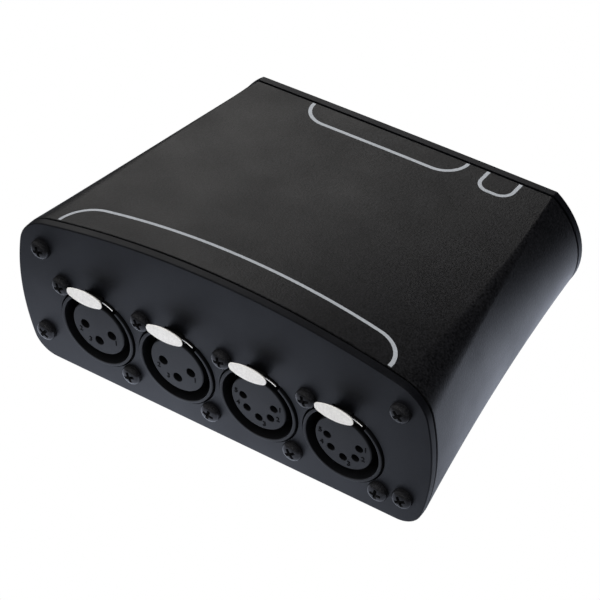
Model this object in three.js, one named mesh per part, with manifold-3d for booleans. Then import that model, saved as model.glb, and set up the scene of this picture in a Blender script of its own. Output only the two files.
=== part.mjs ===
// Desktop DMX splitter: a tapered one-piece sleeve closed by a tall arched front plate with four
// latching female outputs and by a lower, flat-topped rear plate with two male inputs and a power jack.
// Millimetres. +X right seen from the front, +Y from front to rear, +Z up. The origin lies on the
// surface that the feet rest on, under the middle of the whole splitter.
import * as THREE from 'three';
import { mergeVertices } from 'three/addons/utils/BufferGeometryUtils.js';
import Module from 'manifold-3d';

const wasm = await Module();
wasm.setup();

// Case
const caseDepth = 87.2;
const plateThickness = 2.3;
const plateEdgeRound = 0.5;
const seamGap = 0.25;
const wallThickness = 2.5;
const leastCornerRadius = 0.6;
const flareShare = 0.6;

const frontSection = {
  width: 121,
  height: 51.4,
  bulgeHeight: 23.1,
  sideRadius: 67,
  archRadius: 214,
  topCornerRadius: 11,
  bottomCornerRadius: 7,
};
const rearSection = {
  width: 106.8,
  height: 37.9,
  bulgeHeight: 20.8,
  sideRadius: 21,
  archRadius: 4000,
  topCornerRadius: 0.8,
  bottomCornerRadius: 13.7,
};

// Board
const boardThickness = 1.6;
const boardLift = 1.3;
const boardEndGap = 2.2;
const boardSideGap = 1.1;
const boardRibWidth = 1.6;
const boardRibEndGap = 2;

// Connectors, seen along their own axis: y is the depth behind the outer face of the plate
const axisAboveBoard = 12;
const outletPitch = 24.2;
const outletEndRoom = 11.5;
const inletCentre = -2.3;
const shellHalfWidth = 11.9;
const shellShoulder = 12.6;
const shellCrownHalfWidth = 8;
const ringRadius = 11.1;
const ringProud = 0.6;
const ringHoleClearance = 0.4;
const ringChamfer = 0.25;
const contactRowHalf = 4.17;
const contactRowRise = -0.2;
const contactLow = 3.9;
const contactCircleRadius = 4.53;
const contactStepAngle = THREE.MathUtils.degToRad(49.3);
const contactHoleDepth = 11;
const threePole = { holeRadius: 1.4, pinRadius: 1.2 };
const fivePole = { holeRadius: 1.15, pinRadius: 1 };
const poles = { 3: threePole, 5: fivePole };
const insertClearance = 0.2;
const insertEdge = 0.4;
const tailWidth = 0.8;
const tailRoot = 0.4;
const tailReach = 0.8;
const tailStep = 1.3;
const tailChannelHalfWidth = 6.4;
const tailChannelTop = 3.5;
const tailHoleClearance = 0.2;

const outlet = {
  boreRadius: 10.2,
  boreDepth: 14.5,
  insertRadius: 7.95,
  insertDepth: 19.2,
  bodyDepth: 23.4,
  bodyTop: 18,
};
const inlet = {
  boreRadius: 8.2,
  cupDepth: 13.6,
  carrierThickness: 3.4,
  bodyDepth: 20.4,
  bodyTop: 14,
  pinRecess: 1.4,
  keyHalfWidth: 1.7,
  keyDepth: 1.1,
};

// Latch lever of an output
const latchPivotRise = 15.2;
const latchWidth = 5.1;
const latchClearance = 0.35;
const neckUnder = 10.4;
const neckThickness = 1.2;
const armRear = 12.6;
const armThickness = 1.6;
const hookFront = 9.6;
const hookRear = 11.6;
const hookRamp = 1.4;
const hookDrop = 1.4;
const barrelRadius = 1.9;
const barrelHalfWidth = 1;
const trunnionRadius = 1;
const trunnionHalfLength = 5.4;
const trunnionClearance = 0.12;
const tabWidth = 10.8;
const tabHeight = 4.6;
const tabThickness = 0.9;
const tabTipRadius = 1.5;
const tabRise = 0.9;
const tabStandOff = 3.3;
const saddleThickness = 0.4;
const saddleFront = -0.5;
const saddleRear = 1.2;
const saddleHalfAngle = THREE.MathUtils.degToRad(31);
const ringGapHalfAngle = THREE.MathUtils.degToRad(36);
const latchChannelRear = 14.5;
const latchChannelFloor = 8.4;

// Torsion spring of the latch
const springWire = 0.4;
const springCoilRadius = 1.55;
const springTurns = 2.25;
const springPitch = 0.85;
const springSideGap = 0.3;
const springWallGap = 0.55;
const springArmGap = 0.1;
const springLegEnd = 9.2;

// Screws
const screwDiagonal = 10.1;
const screwHeadRadius = 2.8;
const screwHeadHeight = 2;
const screwRimHeight = 0.6;
const screwShankRadius = 1.4;
const screwHoleRadius = 1.5;
const plateHoleRadius = 1.7;
const screwLength = 8.5;
const screwHoleDepth = 10;
const screwTipLength = 1;

const frontFixing = { topInset: 8.5, topDrop: 14.5, bottomInset: 7.3, bottomRise: 8.8 };
const rearFixing = { topInset: 11, topDrop: 7.4, bottomInset: 10, bottomRise: 10.6 };
const bossRadius = 4.6;
const bossLength = 14;

// Feet
const footRadius = 4.4;
const footProud = 1.6;
const footRecess = 0.5;
const footRecessClearance = 0.2;
const footChamfer = 0.4;
const frontFeet = { halfSpan: 40, fromEnd: 14 };
const rearFeet = { halfSpan: 27, fromEnd: 13 };

// Power jack
const jack = {
  x: 32,
  riseAboveBoard: 5.6,
  halfWidth: 4.5,
  height: 11,
  depth: 14.5,
  collarRadius: 4,
  collarClearance: 0.3,
  collarFlush: 0.3,
  boreRadius: 3.15,
  boreDepth: 10.5,
  pinRadius: 1.05,
  pinRecess: 1.2,
  pinClearance: 0.08,
  pinRear: 13,
};

// Parts on the board
const converter = { width: 15, depth: 7.4, height: 9.6, edge: 0.8, behindOutlets: 11.6 };
const driver = { width: 6.4, depth: 9.8, height: 3.1, draft: 0.3, standOff: 0.4, behindConverter: 14 };
const driverLead = { count: 4, pitch: 2.54, width: 0.9, reach: 1.1, seat: 0.2 };
const capacitor = {
  x: 35,
  aheadOfJack: 10.5,
  radius: 4,
  height: 11.5,
  beadRadius: 0.35,
  beadRise: 1.6,
  edge: 0.5,
};
const choke = {
  x: 24.2,
  aheadOfJack: 14,
  size: 8.6,
  height: 4.6,
  cornerCut: 1.5,
  coreRadius: 3.3,
  coreRise: 0.4,
};

// Reach of a cutting shape past what it cuts, and how near two corners are one
const overrun = 1;
const weldDistance = 0.00006;

// Fineness of round shapes
const ringSides = 24;
const roundSides = 16;
const smallSides = 10;
const slotSides = 8;
const holeSides = 8;
const tailHoleSides = 6;
const screwSides = 8;
const domeSteps = 2;
const springSides = 5;
const springStepsPerTurn = 8;
const lengthSpans = 5;
const arcSteps = {
  bottomCorner: 4,
  side: 8,
  topCorner: 4,
  arch: 5,
  tabTip: 2,
  tabFace: 3,
  saddle: 5,
};
const innerArcSteps = { bottomCorner: 3, side: 3, topCorner: 3, arch: 3 };

// Colours seen in the photograph
const finishes = {
  sleeve: { color: 0x2a2a29, roughness: 0.5, metalness: 0.1 },
  plate: { color: 0x24262b, roughness: 0.5, metalness: 0.2 },
  fastener: { color: 0x141416, roughness: 0.35, metalness: 0.7 },
  connector: { color: 0x1d1e20, roughness: 0.45, metalness: 0 },
  latch: { color: 0xe2e0dc, roughness: 0.25, metalness: 0.9 },
  steel: { color: 0xb9bbbe, roughness: 0.3, metalness: 1 },
  rubber: { color: 0x161616, roughness: 0.85, metalness: 0 },
  board: { color: 0x1d5a34, roughness: 0.5, metalness: 0 },
  module: { color: 0x18191b, roughness: 0.55, metalness: 0 },
  sleeveFoil: { color: 0x23305c, roughness: 0.35, metalness: 0.1 },
  ferrite: { color: 0x3a3a3d, roughness: 0.7, metalness: 0.1 },
};

const latchPivotDepth = plateThickness + springWallGap + springWire / 2 + springCoilRadius;
const springReach = barrelHalfWidth + springSideGap + springWire + springPitch * springTurns;

const foremost = -tabStandOff - tabThickness;
const rearmost = caseDepth + screwHeadHeight;
const caseFloor = footProud;
const boardTop = caseFloor + wallThickness + boardLift + boardThickness;
const axisHeight = boardTop + axisAboveBoard;
const sleeveFront = plateThickness + seamGap;
const sleeveRear = caseDepth - plateThickness - seamGap;
const boardUnderAxis = -axisAboveBoard - boardThickness;

// The four corner screws of a plate, each as [x, rise above the case floor]
function fixingPlaces(section, fixing) {
  const topX = section.width / 2 - fixing.topInset;
  const bottomX = section.width / 2 - fixing.bottomInset;
  const topRise = section.height - fixing.topDrop;
  return [
    [-topX, topRise],
    [topX, topRise],
    [-bottomX, fixing.bottomRise],
    [bottomX, fixing.bottomRise],
  ];
}

const frontScrews = fixingPlaces(frontSection, frontFixing);
const rearScrews = fixingPlaces(rearSection, rearFixing);

function boardHalfWidth(section, fixing) {
  return section.width / 2 - fixing.bottomInset - bossRadius - boardSideGap;
}

const boardFrontHalfWidth = boardHalfWidth(frontSection, frontFixing);
const boardRearHalfWidth = boardHalfWidth(rearSection, rearFixing);

// As many outputs as the front takes: the left half has three poles, the right half five
const outletCount = Math.floor((frontSection.width - 2 * outletEndRoom) / outletPitch);
const outlets = Array.from({ length: outletCount }, (_, index) => ({
  x: (index - (outletCount - 1) / 2) * outletPitch,
  contacts: index < outletCount / 2 ? 3 : 5,
}));
const inlets = [-0.5, 0.5].map((step, index) => ({
  x: inletCentre + step * outletPitch,
  contacts: index < 1 ? 5 : 3,
}));

// Solids

function solid(geometry) {
  const bare = geometry.clone();
  bare.deleteAttribute('normal');
  bare.deleteAttribute('uv');
  const merged = mergeVertices(bare, weldDistance);
  return new wasm.Manifold(new wasm.Mesh({
    numProp: 3,
    vertProperties: new Float32Array(merged.attributes.position.array),
    triVerts: new Uint32Array(merged.index.array),
  }));
}

function surface(body) {
  const mesh = body.getMesh();
  const geometry = new THREE.BufferGeometry();
  geometry.setAttribute('position', new THREE.BufferAttribute(mesh.vertProperties, 3));
  geometry.setIndex(new THREE.BufferAttribute(mesh.triVerts, 1));
  geometry.computeVertexNormals();
  return geometry;
}

function box(x, y, z) {
  const geometry = new THREE.BoxGeometry(x[1] - x[0], y[1] - y[0], z[1] - z[0]);
  geometry.translate((x[0] + x[1]) / 2, (y[0] + y[1]) / 2, (z[0] + z[1]) / 2);
  return solid(geometry);
}

// A round bar along Y, tapering from frontRadius to rearRadius
function bar(frontRadius, y, [x, z] = [0, 0], sides = holeSides, rearRadius = frontRadius) {
  const geometry = new THREE.CylinderGeometry(rearRadius, frontRadius, y[1] - y[0], sides);
  geometry.translate(x, (y[0] + y[1]) / 2, z);
  return solid(geometry);
}

// A round bar along X
function axle(radius, halfLength, [y, z], sides = smallSides) {
  const geometry = new THREE.CylinderGeometry(radius, radius, 2 * halfLength, sides);
  geometry.rotateZ(Math.PI / 2);
  geometry.translate(0, y, z);
  return solid(geometry);
}

// A shape turned about Y: the profile is a list of [radius, y] that starts and ends on the axis
function turned(profile, sides) {
  const points = profile.map(([radius, y]) => new THREE.Vector2(radius, y));
  return solid(new THREE.LatheGeometry(points, sides));
}

// A shape drawn in X and Z, and pushed along Y
function pushed(points, y) {
  const shape = new THREE.Shape(points.map(([x, z]) => new THREE.Vector2(x, z)));
  const geometry = new THREE.ExtrudeGeometry(shape, { depth: y[1] - y[0], bevelEnabled: false });
  geometry.rotateX(Math.PI / 2);
  geometry.translate(0, y[1], 0);
  return solid(geometry);
}

// A shape drawn in Y and Z, and pushed along X to both sides of the middle
function pushedAcross(points, halfWidth) {
  const shape = new THREE.Shape(points.map(([y, z]) => new THREE.Vector2(y, z)));
  const geometry = new THREE.ExtrudeGeometry(shape, { depth: 2 * halfWidth, bevelEnabled: false });
  geometry.rotateX(Math.PI / 2);
  geometry.rotateZ(Math.PI / 2);
  geometry.translate(-halfWidth, 0, 0);
  return solid(geometry);
}

// A shape drawn in X and Y, and raised along Z
function raised(points, z) {
  const shape = new THREE.Shape(points.map(([x, y]) => new THREE.Vector2(x, y)));
  const geometry = new THREE.ExtrudeGeometry(shape, { depth: z[1] - z[0], bevelEnabled: false });
  geometry.translate(0, 0, z[0]);
  return solid(geometry);
}

function unite(bodies) {
  return bodies.reduce((sum, body) => sum.add(body));
}

function cut(body, tools) {
  return tools.reduce((rest, tool) => rest.subtract(tool), body);
}

// Outline of the case

function arc(centre, radius, from, to, steps) {
  return Array.from({ length: steps }, (_, step) => {
    const angle = from + ((to - from) * step) / steps;
    return [centre.x + radius * Math.cos(angle), centre.z + radius * Math.sin(angle)];
  });
}

function direction(from, to) {
  return Math.atan2(to.z - from.z, to.x - from.x);
}

// One cross-section, inset by a wall: a flat bottom, a corner arc, a bulging side, a corner arc and
// an arched top, each tangent to the next
function caseOutline(section, inset = 0, steps = arcSteps) {
  const floor = inset;
  const sideRadius = section.sideRadius - inset;
  const archRadius = section.archRadius - inset;
  const topRadius = Math.max(section.topCornerRadius - inset, leastCornerRadius);
  const bottomRadius = Math.max(section.bottomCornerRadius - inset, leastCornerRadius);
  const side = { x: section.width / 2 - section.sideRadius, z: section.bulgeHeight };
  const arch = { x: 0, z: section.height - section.archRadius };

  const bottomZ = floor + bottomRadius;
  const bottomReach = (sideRadius - bottomRadius) ** 2 - (side.z - bottomZ) ** 2;
  const bottomCorner = { x: side.x + Math.sqrt(Math.max(bottomReach, 0)), z: bottomZ };

  const fromSide = sideRadius - topRadius;
  const fromArch = archRadius - topRadius;
  const between = Math.hypot(side.x - arch.x, side.z - arch.z);
  const along = (fromSide ** 2 - fromArch ** 2 + between ** 2) / (2 * between);
  const across = Math.sqrt(fromSide ** 2 - along ** 2);
  const unit = { x: (arch.x - side.x) / between, z: (arch.z - side.z) / between };
  const topCorner = {
    x: side.x + along * unit.x - across * unit.z,
    z: side.z + along * unit.z + across * unit.x,
  };

  const lowAngle = direction(side, bottomCorner);
  const highAngle = direction(side, topCorner);
  const archAngle = direction(arch, topCorner);
  const half = [
    ...arc(bottomCorner, bottomRadius, -Math.PI / 2, lowAngle, steps.bottomCorner),
    ...arc(side, sideRadius, lowAngle, highAngle, steps.side),
    ...arc(topCorner, topRadius, highAngle, archAngle, steps.topCorner),
    ...arc(arch, archRadius, archAngle, Math.PI / 2, steps.arch),
  ];
  const crown = [0, arch.z + archRadius];
  const mirrored = half.map(([x, z]) => [-x, z]).reverse();
  return [...half, crown, ...mirrored].map(([x, z]) => [x, z + caseFloor]);
}

// The section at a share of the way from the front to the rear, flared towards the front
function sectionAt(share) {
  const weight = (1 - share) * (1 - flareShare * share);
  const mix = (front, rear) => rear + (front - rear) * weight;
  const section = {};
  for (const key of Object.keys(frontSection)) {
    section[key] = mix(frontSection[key], rearSection[key]);
  }
  section.archRadius = 1 / mix(1 / frontSection.archRadius, 1 / rearSection.archRadius);
  return section;
}

// A closed body through outlines of equally many points, each at its own y
function loft(outlines) {
  const count = outlines[0].points.length;
  const positions = outlines.flatMap(({ y, points }) => points.flatMap(([x, z]) => [x, y, z]));
  const index = [];
  for (let ring = 0; ring + 1 < outlines.length; ring += 1) {
    for (let step = 0; step < count; step += 1) {
      const here = ring * count + step;
      const next = ring * count + ((step + 1) % count);
      index.push(here, here + count, next, here + count, next + count, next);
    }
  }
  const capOf = (outline) => THREE.ShapeUtils.triangulateShape(
    outline.points.map(([x, z]) => new THREE.Vector2(x, z)),
    [],
  );
  const last = (outlines.length - 1) * count;
  capOf(outlines[0]).forEach(([a, b, c]) => index.push(a, b, c));
  capOf(outlines.at(-1)).forEach(([a, b, c]) => index.push(last + a, last + c, last + b));
  const geometry = new THREE.BufferGeometry();
  geometry.setAttribute('position', new THREE.Float32BufferAttribute(positions, 3));
  geometry.setIndex(index);
  return solid(geometry);
}

function sleeveLoft(inset, extra, steps) {
  const outlines = Array.from({ length: lengthSpans + 1 }, (_, step) => {
    const share = step / lengthSpans;
    return {
      y: sleeveFront + (sleeveRear - sleeveFront) * share,
      points: caseOutline(sectionAt(share), inset, steps),
    };
  });
  if (extra > 0) {
    outlines.unshift({ ...outlines[0], y: sleeveFront - extra });
    outlines.push({ ...outlines.at(-1), y: sleeveRear + extra });
  }
  return loft(outlines);
}

// Case

function feetPlaces() {
  return [
    [-frontFeet.halfSpan, frontFeet.fromEnd],
    [frontFeet.halfSpan, frontFeet.fromEnd],
    [-rearFeet.halfSpan, caseDepth - rearFeet.fromEnd],
    [rearFeet.halfSpan, caseDepth - rearFeet.fromEnd],
  ];
}

function upright(radius, z, [x, y], sides) {
  const geometry = new THREE.CylinderGeometry(radius, radius, z[1] - z[0], sides);
  geometry.rotateX(Math.PI / 2);
  geometry.translate(x, y, (z[0] + z[1]) / 2);
  return solid(geometry);
}

function caseSleeve() {
  const outer = sleeveLoft(0, 0, arcSteps);
  const shell = outer.subtract(sleeveLoft(wallThickness, overrun, innerArcSteps));
  const frontBosses = frontScrews.map(([x, z]) => (
    bar(bossRadius, [sleeveFront, sleeveFront + bossLength], [x, z + caseFloor], smallSides)
  ));
  const rearBosses = rearScrews.map(([x, z]) => (
    bar(bossRadius, [sleeveRear - bossLength, sleeveRear], [x, z + caseFloor], smallSides)
  ));
  const floorTop = caseFloor + wallThickness;
  const ribs = [-outletPitch, outletPitch].map((x) => box(
    [x - boardRibWidth / 2, x + boardRibWidth / 2],
    [outlet.bodyDepth + boardRibEndGap, caseDepth - inlet.bodyDepth - boardRibEndGap],
    [floorTop - wallThickness / 2, floorTop + boardLift],
  ));
  const inside = unite([...frontBosses, ...rearBosses, ...ribs]).intersect(outer);
  const frontHoles = frontScrews.map(([x, z]) => (
    bar(screwHoleRadius, [sleeveFront - overrun, sleeveFront + screwHoleDepth], [x, z + caseFloor])
  ));
  const rearHoles = rearScrews.map(([x, z]) => (
    bar(screwHoleRadius, [sleeveRear - screwHoleDepth, sleeveRear + overrun], [x, z + caseFloor])
  ));
  const footPockets = feetPlaces().map((place) => upright(
    footRadius + footRecessClearance,
    [caseFloor - overrun, caseFloor + footRecess],
    place,
    roundSides,
  ));
  return cut(shell.add(inside), [...frontHoles, ...rearHoles, ...footPockets]);
}

// A flat plate with a rounded outer edge; its outer face is at y = 0
function plateBlank(section) {
  const shoulder = plateEdgeRound * (1 - Math.SQRT1_2);
  return loft([
    { y: 0, points: caseOutline(section, plateEdgeRound) },
    { y: shoulder, points: caseOutline(section, shoulder) },
    { y: plateEdgeRound, points: caseOutline(section, 0) },
    { y: plateThickness, points: caseOutline(section, 0) },
  ]);
}

const plateCut = [-overrun, plateThickness + overrun];

function connectorHoles(x) {
  return [
    bar(ringRadius + ringHoleClearance, plateCut, [x, axisHeight], ringSides),
    bar(plateHoleRadius, plateCut, [x - screwDiagonal, axisHeight + screwDiagonal]),
    bar(plateHoleRadius, plateCut, [x + screwDiagonal, axisHeight - screwDiagonal]),
  ];
}

function frontPlate() {
  const neckTop = neckUnder + neckThickness + latchClearance;
  const neckHalf = latchWidth / 2 + latchClearance;
  const holes = outlets.flatMap(({ x }) => [
    ...connectorHoles(x),
    box([x - neckHalf, x + neckHalf], plateCut, [axisHeight, axisHeight + neckTop]),
  ]);
  const corners = frontScrews.map(([x, z]) => bar(plateHoleRadius, plateCut, [x, z + caseFloor]));
  return cut(plateBlank(frontSection), [...holes, ...corners]);
}

// The rear plate is drawn with its outer face at y = 0 too, and is turned round when it is placed
function rearPlate() {
  const holes = inlets.flatMap(({ x }) => connectorHoles(-x));
  const jackHole = bar(
    jack.collarRadius + jack.collarClearance,
    plateCut,
    [-jack.x, boardTop + jack.riseAboveBoard],
    roundSides,
  );
  const corners = rearScrews.map(([x, z]) => bar(plateHoleRadius, plateCut, [x, z + caseFloor]));
  return cut(plateBlank(rearSection), [...holes, jackHole, ...corners]);
}

function foot() {
  const geometry = new THREE.LatheGeometry([
    new THREE.Vector2(0, -footProud),
    new THREE.Vector2(footRadius - footChamfer, -footProud),
    new THREE.Vector2(footRadius, footChamfer - footProud),
    new THREE.Vector2(footRadius, footRecess),
    new THREE.Vector2(0, footRecess),
  ], roundSides);
  geometry.rotateX(Math.PI / 2);
  return solid(geometry);
}

// A pan-headed screw with its head in front of y = 0
function screw() {
  const domeHeight = screwHeadHeight - screwRimHeight;
  const dome = Array.from({ length: domeSteps }, (_, step) => {
    const angle = (Math.PI / 2) * (step / domeSteps);
    return [screwHeadRadius * Math.sin(angle), -screwRimHeight - domeHeight * Math.cos(angle)];
  });
  return turned([
    ...dome,
    [screwHeadRadius, -screwRimHeight],
    [screwHeadRadius, 0],
    [screwShankRadius, 0],
    [screwShankRadius, screwLength - screwTipLength],
    [0, screwLength],
  ], screwSides);
}

// Connectors

function contactPlaces(count) {
  if (count === 3) {
    return [
      [contactRowHalf, contactRowRise],
      [-contactRowHalf, contactRowRise],
      [0, -contactLow],
    ];
  }
  return [2, 1, 0, -1, -2].map((step) => [
    contactCircleRadius * Math.sin(step * contactStepAngle),
    -contactCircleRadius * Math.cos(step * contactStepAngle),
  ]);
}

// The solder tails run back from the carrier and turn down through the board. Neighbours that lie
// close together side by side turn down at different depths.
function tailPlaces(count, rear) {
  return contactPlaces(count).map(([x, z], index) => ({
    x,
    z,
    y: rear + tailReach + (count === 5 && index % 2 === 1 ? tailStep : 0),
  }));
}

function tails(count, rear) {
  const half = tailWidth / 2;
  return tailPlaces(count, rear).flatMap(({ x, y, z }) => [
    box([x - half, x + half], [rear - tailRoot, y + half], [z - half, z + half]),
    box([x - half, x + half], [y - half, y + half], [boardUnderAxis - tailReach, z]),
  ]);
}

function tailChannel(front, rear) {
  return box(
    [-tailChannelHalfWidth, tailChannelHalfWidth],
    [front, rear + overrun],
    [-axisAboveBoard - overrun, tailChannelTop],
  );
}

function shellBlank(bodyTop, bodyDepth) {
  const body = pushed([
    [-shellHalfWidth, -axisAboveBoard],
    [shellHalfWidth, -axisAboveBoard],
    [shellHalfWidth, shellShoulder],
    [shellCrownHalfWidth, bodyTop],
    [-shellCrownHalfWidth, bodyTop],
    [-shellHalfWidth, shellShoulder],
  ], [plateThickness, bodyDepth]);
  return body.add(bar(ringRadius, [-ringProud, plateThickness + overrun], [0, 0], ringSides));
}

function shellScrewHoles() {
  return [-screwDiagonal, screwDiagonal].map((x) => (
    bar(screwHoleRadius, [-overrun, screwHoleDepth], [x, -x])
  ));
}

function mouthChamfer(radius) {
  return bar(
    radius + 2 * ringChamfer,
    [-ringProud - ringChamfer, -ringProud + ringChamfer],
    [0, 0],
    ringSides,
    radius,
  );
}

function outletShell() {
  const reach = ringRadius + overrun;
  const gapEdge = reach * Math.tan(ringGapHalfAngle);
  const ringGap = pushed(
    [[0, 0], [gapEdge, reach], [-gapEdge, reach]],
    [-ringProud - overrun, plateThickness],
  );
  const channelHalf = springReach + springSideGap;
  const channel = box(
    [-channelHalf, channelHalf],
    [plateThickness - overrun, latchChannelRear],
    [latchChannelFloor, outlet.bodyTop + overrun],
  );
  const slotRadius = trunnionRadius + trunnionClearance;
  const slotHalf = trunnionHalfLength + latchClearance;
  const seat = axle(slotRadius, slotHalf, [latchPivotDepth, latchPivotRise], slotSides);
  const trunnionSlot = seat.add(box(
    [-slotHalf, slotHalf],
    [latchPivotDepth - slotRadius, latchPivotDepth + slotRadius],
    [latchPivotRise, outlet.bodyTop + overrun],
  ));
  return cut(shellBlank(outlet.bodyTop, outlet.bodyDepth), [
    bar(outlet.boreRadius, [-ringProud - overrun, outlet.boreDepth], [0, 0], ringSides),
    mouthChamfer(outlet.boreRadius),
    bar(
      outlet.insertRadius + insertClearance,
      [outlet.boreDepth - overrun, outlet.insertDepth + overrun],
      [0, 0],
      ringSides,
    ),
    tailChannel(outlet.insertDepth, outlet.bodyDepth),
    ringGap,
    channel,
    trunnionSlot,
    ...shellScrewHoles(),
  ]);
}

function outletInsert(count) {
  const body = turned([
    [0, 0],
    [outlet.insertRadius - insertEdge, 0],
    [outlet.insertRadius, insertEdge],
    [outlet.insertRadius, outlet.insertDepth],
    [0, outlet.insertDepth],
  ], ringSides);
  const holes = contactPlaces(count).map((place) => (
    bar(poles[count].holeRadius, [-overrun, contactHoleDepth], place)
  ));
  return cut(unite([body, ...tails(count, outlet.insertDepth)]), holes);
}

// A lens of two arcs with rounded ends
function tabOutline() {
  const rise = tabHeight / 2;
  const reach = tabWidth / 2 - tabTipRadius;
  const faceRadius = (reach ** 2 + rise ** 2 - tabTipRadius ** 2) / (2 * (rise - tabTipRadius));
  const face = { x: 0, z: rise - faceRadius };
  const tip = { x: reach, z: 0 };
  const meet = direction(face, tip);
  const quarter = [
    ...arc(tip, tabTipRadius, 0, meet, arcSteps.tabTip),
    ...arc(face, faceRadius, meet, Math.PI / 2, arcSteps.tabFace),
  ];
  const half = [...quarter, [0, rise], ...quarter.slice(1).map(([x, z]) => [-x, z]).reverse()];
  const middle = neckUnder + tabRise + rise;
  return [...half, ...half.map(([x, z]) => [-x, -z])].map(([x, z]) => [x, z + middle]);
}

function latchLever() {
  const neckTop = neckUnder + neckThickness;
  const armTop = neckUnder + armThickness;
  const webFront = latchPivotDepth - barrelRadius;
  const webRear = latchPivotDepth + barrelRadius;
  const tabBack = -tabStandOff;
  const tabUnder = neckUnder + tabRise;
  const rootTop = tabUnder + tabHeight / 2;
  const arm = pushedAcross([
    [tabBack - tabThickness / 2, rootTop],
    [tabBack - tabThickness / 2, tabUnder + tabRise],
    [tabBack, tabUnder],
    [tabBack + tabRise, neckUnder],
    [hookFront - hookRamp, neckUnder],
    [hookFront, neckUnder - hookDrop],
    [hookRear, neckUnder - hookDrop],
    [hookRear, neckUnder],
    [armRear, neckUnder],
    [armRear, armTop],
    [webFront, armTop],
    [webFront - neckThickness / 2, neckTop],
    [tabBack + neckThickness, neckTop],
    [tabBack + neckThickness / 2, neckTop + neckThickness / 2],
    [tabBack + neckThickness / 2, rootTop],
  ], latchWidth / 2);
  const web = box(
    [-barrelHalfWidth, barrelHalfWidth],
    [webFront, webRear],
    [armTop - armThickness / 2, latchPivotRise],
  );
  const barrel = axle(barrelRadius, barrelHalfWidth, [latchPivotDepth, latchPivotRise]);
  const trunnion = axle(trunnionRadius, trunnionHalfLength, [latchPivotDepth, latchPivotRise]);
  const tab = pushed(tabOutline(), [tabBack - tabThickness, tabBack]);
  const saddleArc = (radius, sign) => arc(
    { x: 0, z: 0 },
    radius,
    Math.PI / 2 - sign * saddleHalfAngle,
    Math.PI / 2 + sign * saddleHalfAngle,
    arcSteps.saddle,
  );
  const saddleOuter = saddleArc(ringRadius, 1);
  const saddleInner = saddleArc(ringRadius - saddleThickness, -1);
  const saddle = pushed([...saddleOuter, ...saddleInner], [saddleFront, saddleRear]);
  return unite([arm, web, barrel, trunnion, tab, saddle]);
}

// A wire wound round the trunnion: one leg presses on the lever's arm, the other on the plate
function latchSpring() {
  const start = barrelHalfWidth + springSideGap + springWire / 2;
  const armLine = neckUnder + armThickness + springWire / 2 + springArmGap;
  const coilRear = latchPivotDepth + springCoilRadius;
  const coilBottom = latchPivotRise - springCoilRadius;
  const points = [
    new THREE.Vector3(start, springLegEnd, armLine),
    new THREE.Vector3(start, (springLegEnd + coilRear) / 2, armLine + springWire / 2),
    new THREE.Vector3(start, coilRear, (armLine + coilBottom) / 2),
  ];
  const steps = springTurns * springStepsPerTurn;
  for (let step = 0; step <= steps; step += 1) {
    const angle = (2 * Math.PI * step) / springStepsPerTurn;
    points.push(new THREE.Vector3(
      start + (springPitch * step) / springStepsPerTurn,
      latchPivotDepth + springCoilRadius * Math.cos(angle),
      latchPivotRise + springCoilRadius * Math.sin(angle),
    ));
  }
  points.push(new THREE.Vector3(
    start + springPitch * springTurns,
    latchPivotDepth - springCoilRadius,
    latchPivotRise + springCoilRadius + springWire / 2,
  ));
  const section = Array.from({ length: springSides }, (_, step) => {
    const angle = (2 * Math.PI * step) / springSides;
    return new THREE.Vector2(Math.cos(angle), Math.sin(angle)).multiplyScalar(springWire / 2);
  });
  return solid(new THREE.ExtrudeGeometry(new THREE.Shape(section), {
    steps: points.length + springStepsPerTurn / 2,
    bevelEnabled: false,
    extrudePath: new THREE.CatmullRomCurve3(points),
  }));
}

function inletShell() {
  const rear = inlet.cupDepth + inlet.carrierThickness;
  return cut(shellBlank(inlet.bodyTop, inlet.bodyDepth), [
    bar(inlet.boreRadius, [-ringProud - overrun, rear], [0, 0], ringSides),
    mouthChamfer(inlet.boreRadius),
    box(
      [-inlet.keyHalfWidth, inlet.keyHalfWidth],
      [-ringProud - overrun, inlet.cupDepth],
      [0, inlet.boreRadius + inlet.keyDepth],
    ),
    tailChannel(rear - overrun, inlet.bodyDepth),
    ...shellScrewHoles(),
  ]);
}

function inletInsert(count) {
  const rear = inlet.cupDepth + inlet.carrierThickness;
  const disc = bar(
    inlet.boreRadius - insertClearance,
    [inlet.cupDepth, rear],
    [0, 0],
    ringSides,
  );
  const radius = poles[count].pinRadius;
  const shoulder = inlet.pinRecess + radius / 2;
  const pins = contactPlaces(count).flatMap((place) => [
    bar(radius / 2, [inlet.pinRecess, shoulder], place, holeSides, radius),
    bar(radius, [shoulder, inlet.cupDepth + tailRoot], place),
  ]);
  return unite([disc, ...pins, ...tails(count, rear)]);
}

// Power jack, drawn as the connectors are, with z from its own axis

function jackBody() {
  const floor = -jack.riseAboveBoard;
  const front = plateThickness + seamGap;
  const body = box(
    [-jack.halfWidth, jack.halfWidth],
    [front, jack.depth],
    [floor, floor + jack.height],
  ).add(bar(jack.collarRadius, [jack.collarFlush, front + overrun], [0, 0], roundSides));
  return cut(body, [
    bar(jack.boreRadius, [-overrun, jack.boreDepth], [0, 0], roundSides),
    bar(jack.pinRadius + jack.pinClearance, [jack.boreDepth - overrun, jack.pinRear]),
  ]);
}

function jackPin() {
  const start = jack.pinRecess;
  return turned([
    [0, start],
    [jack.pinRadius / 2, start],
    [jack.pinRadius, start + jack.pinRadius / 2],
    [jack.pinRadius, jack.pinRear],
    [0, jack.pinRear],
  ], holeSides);
}

// Board and what stands on it; y is the depth behind the outer face of the front plate

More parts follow.
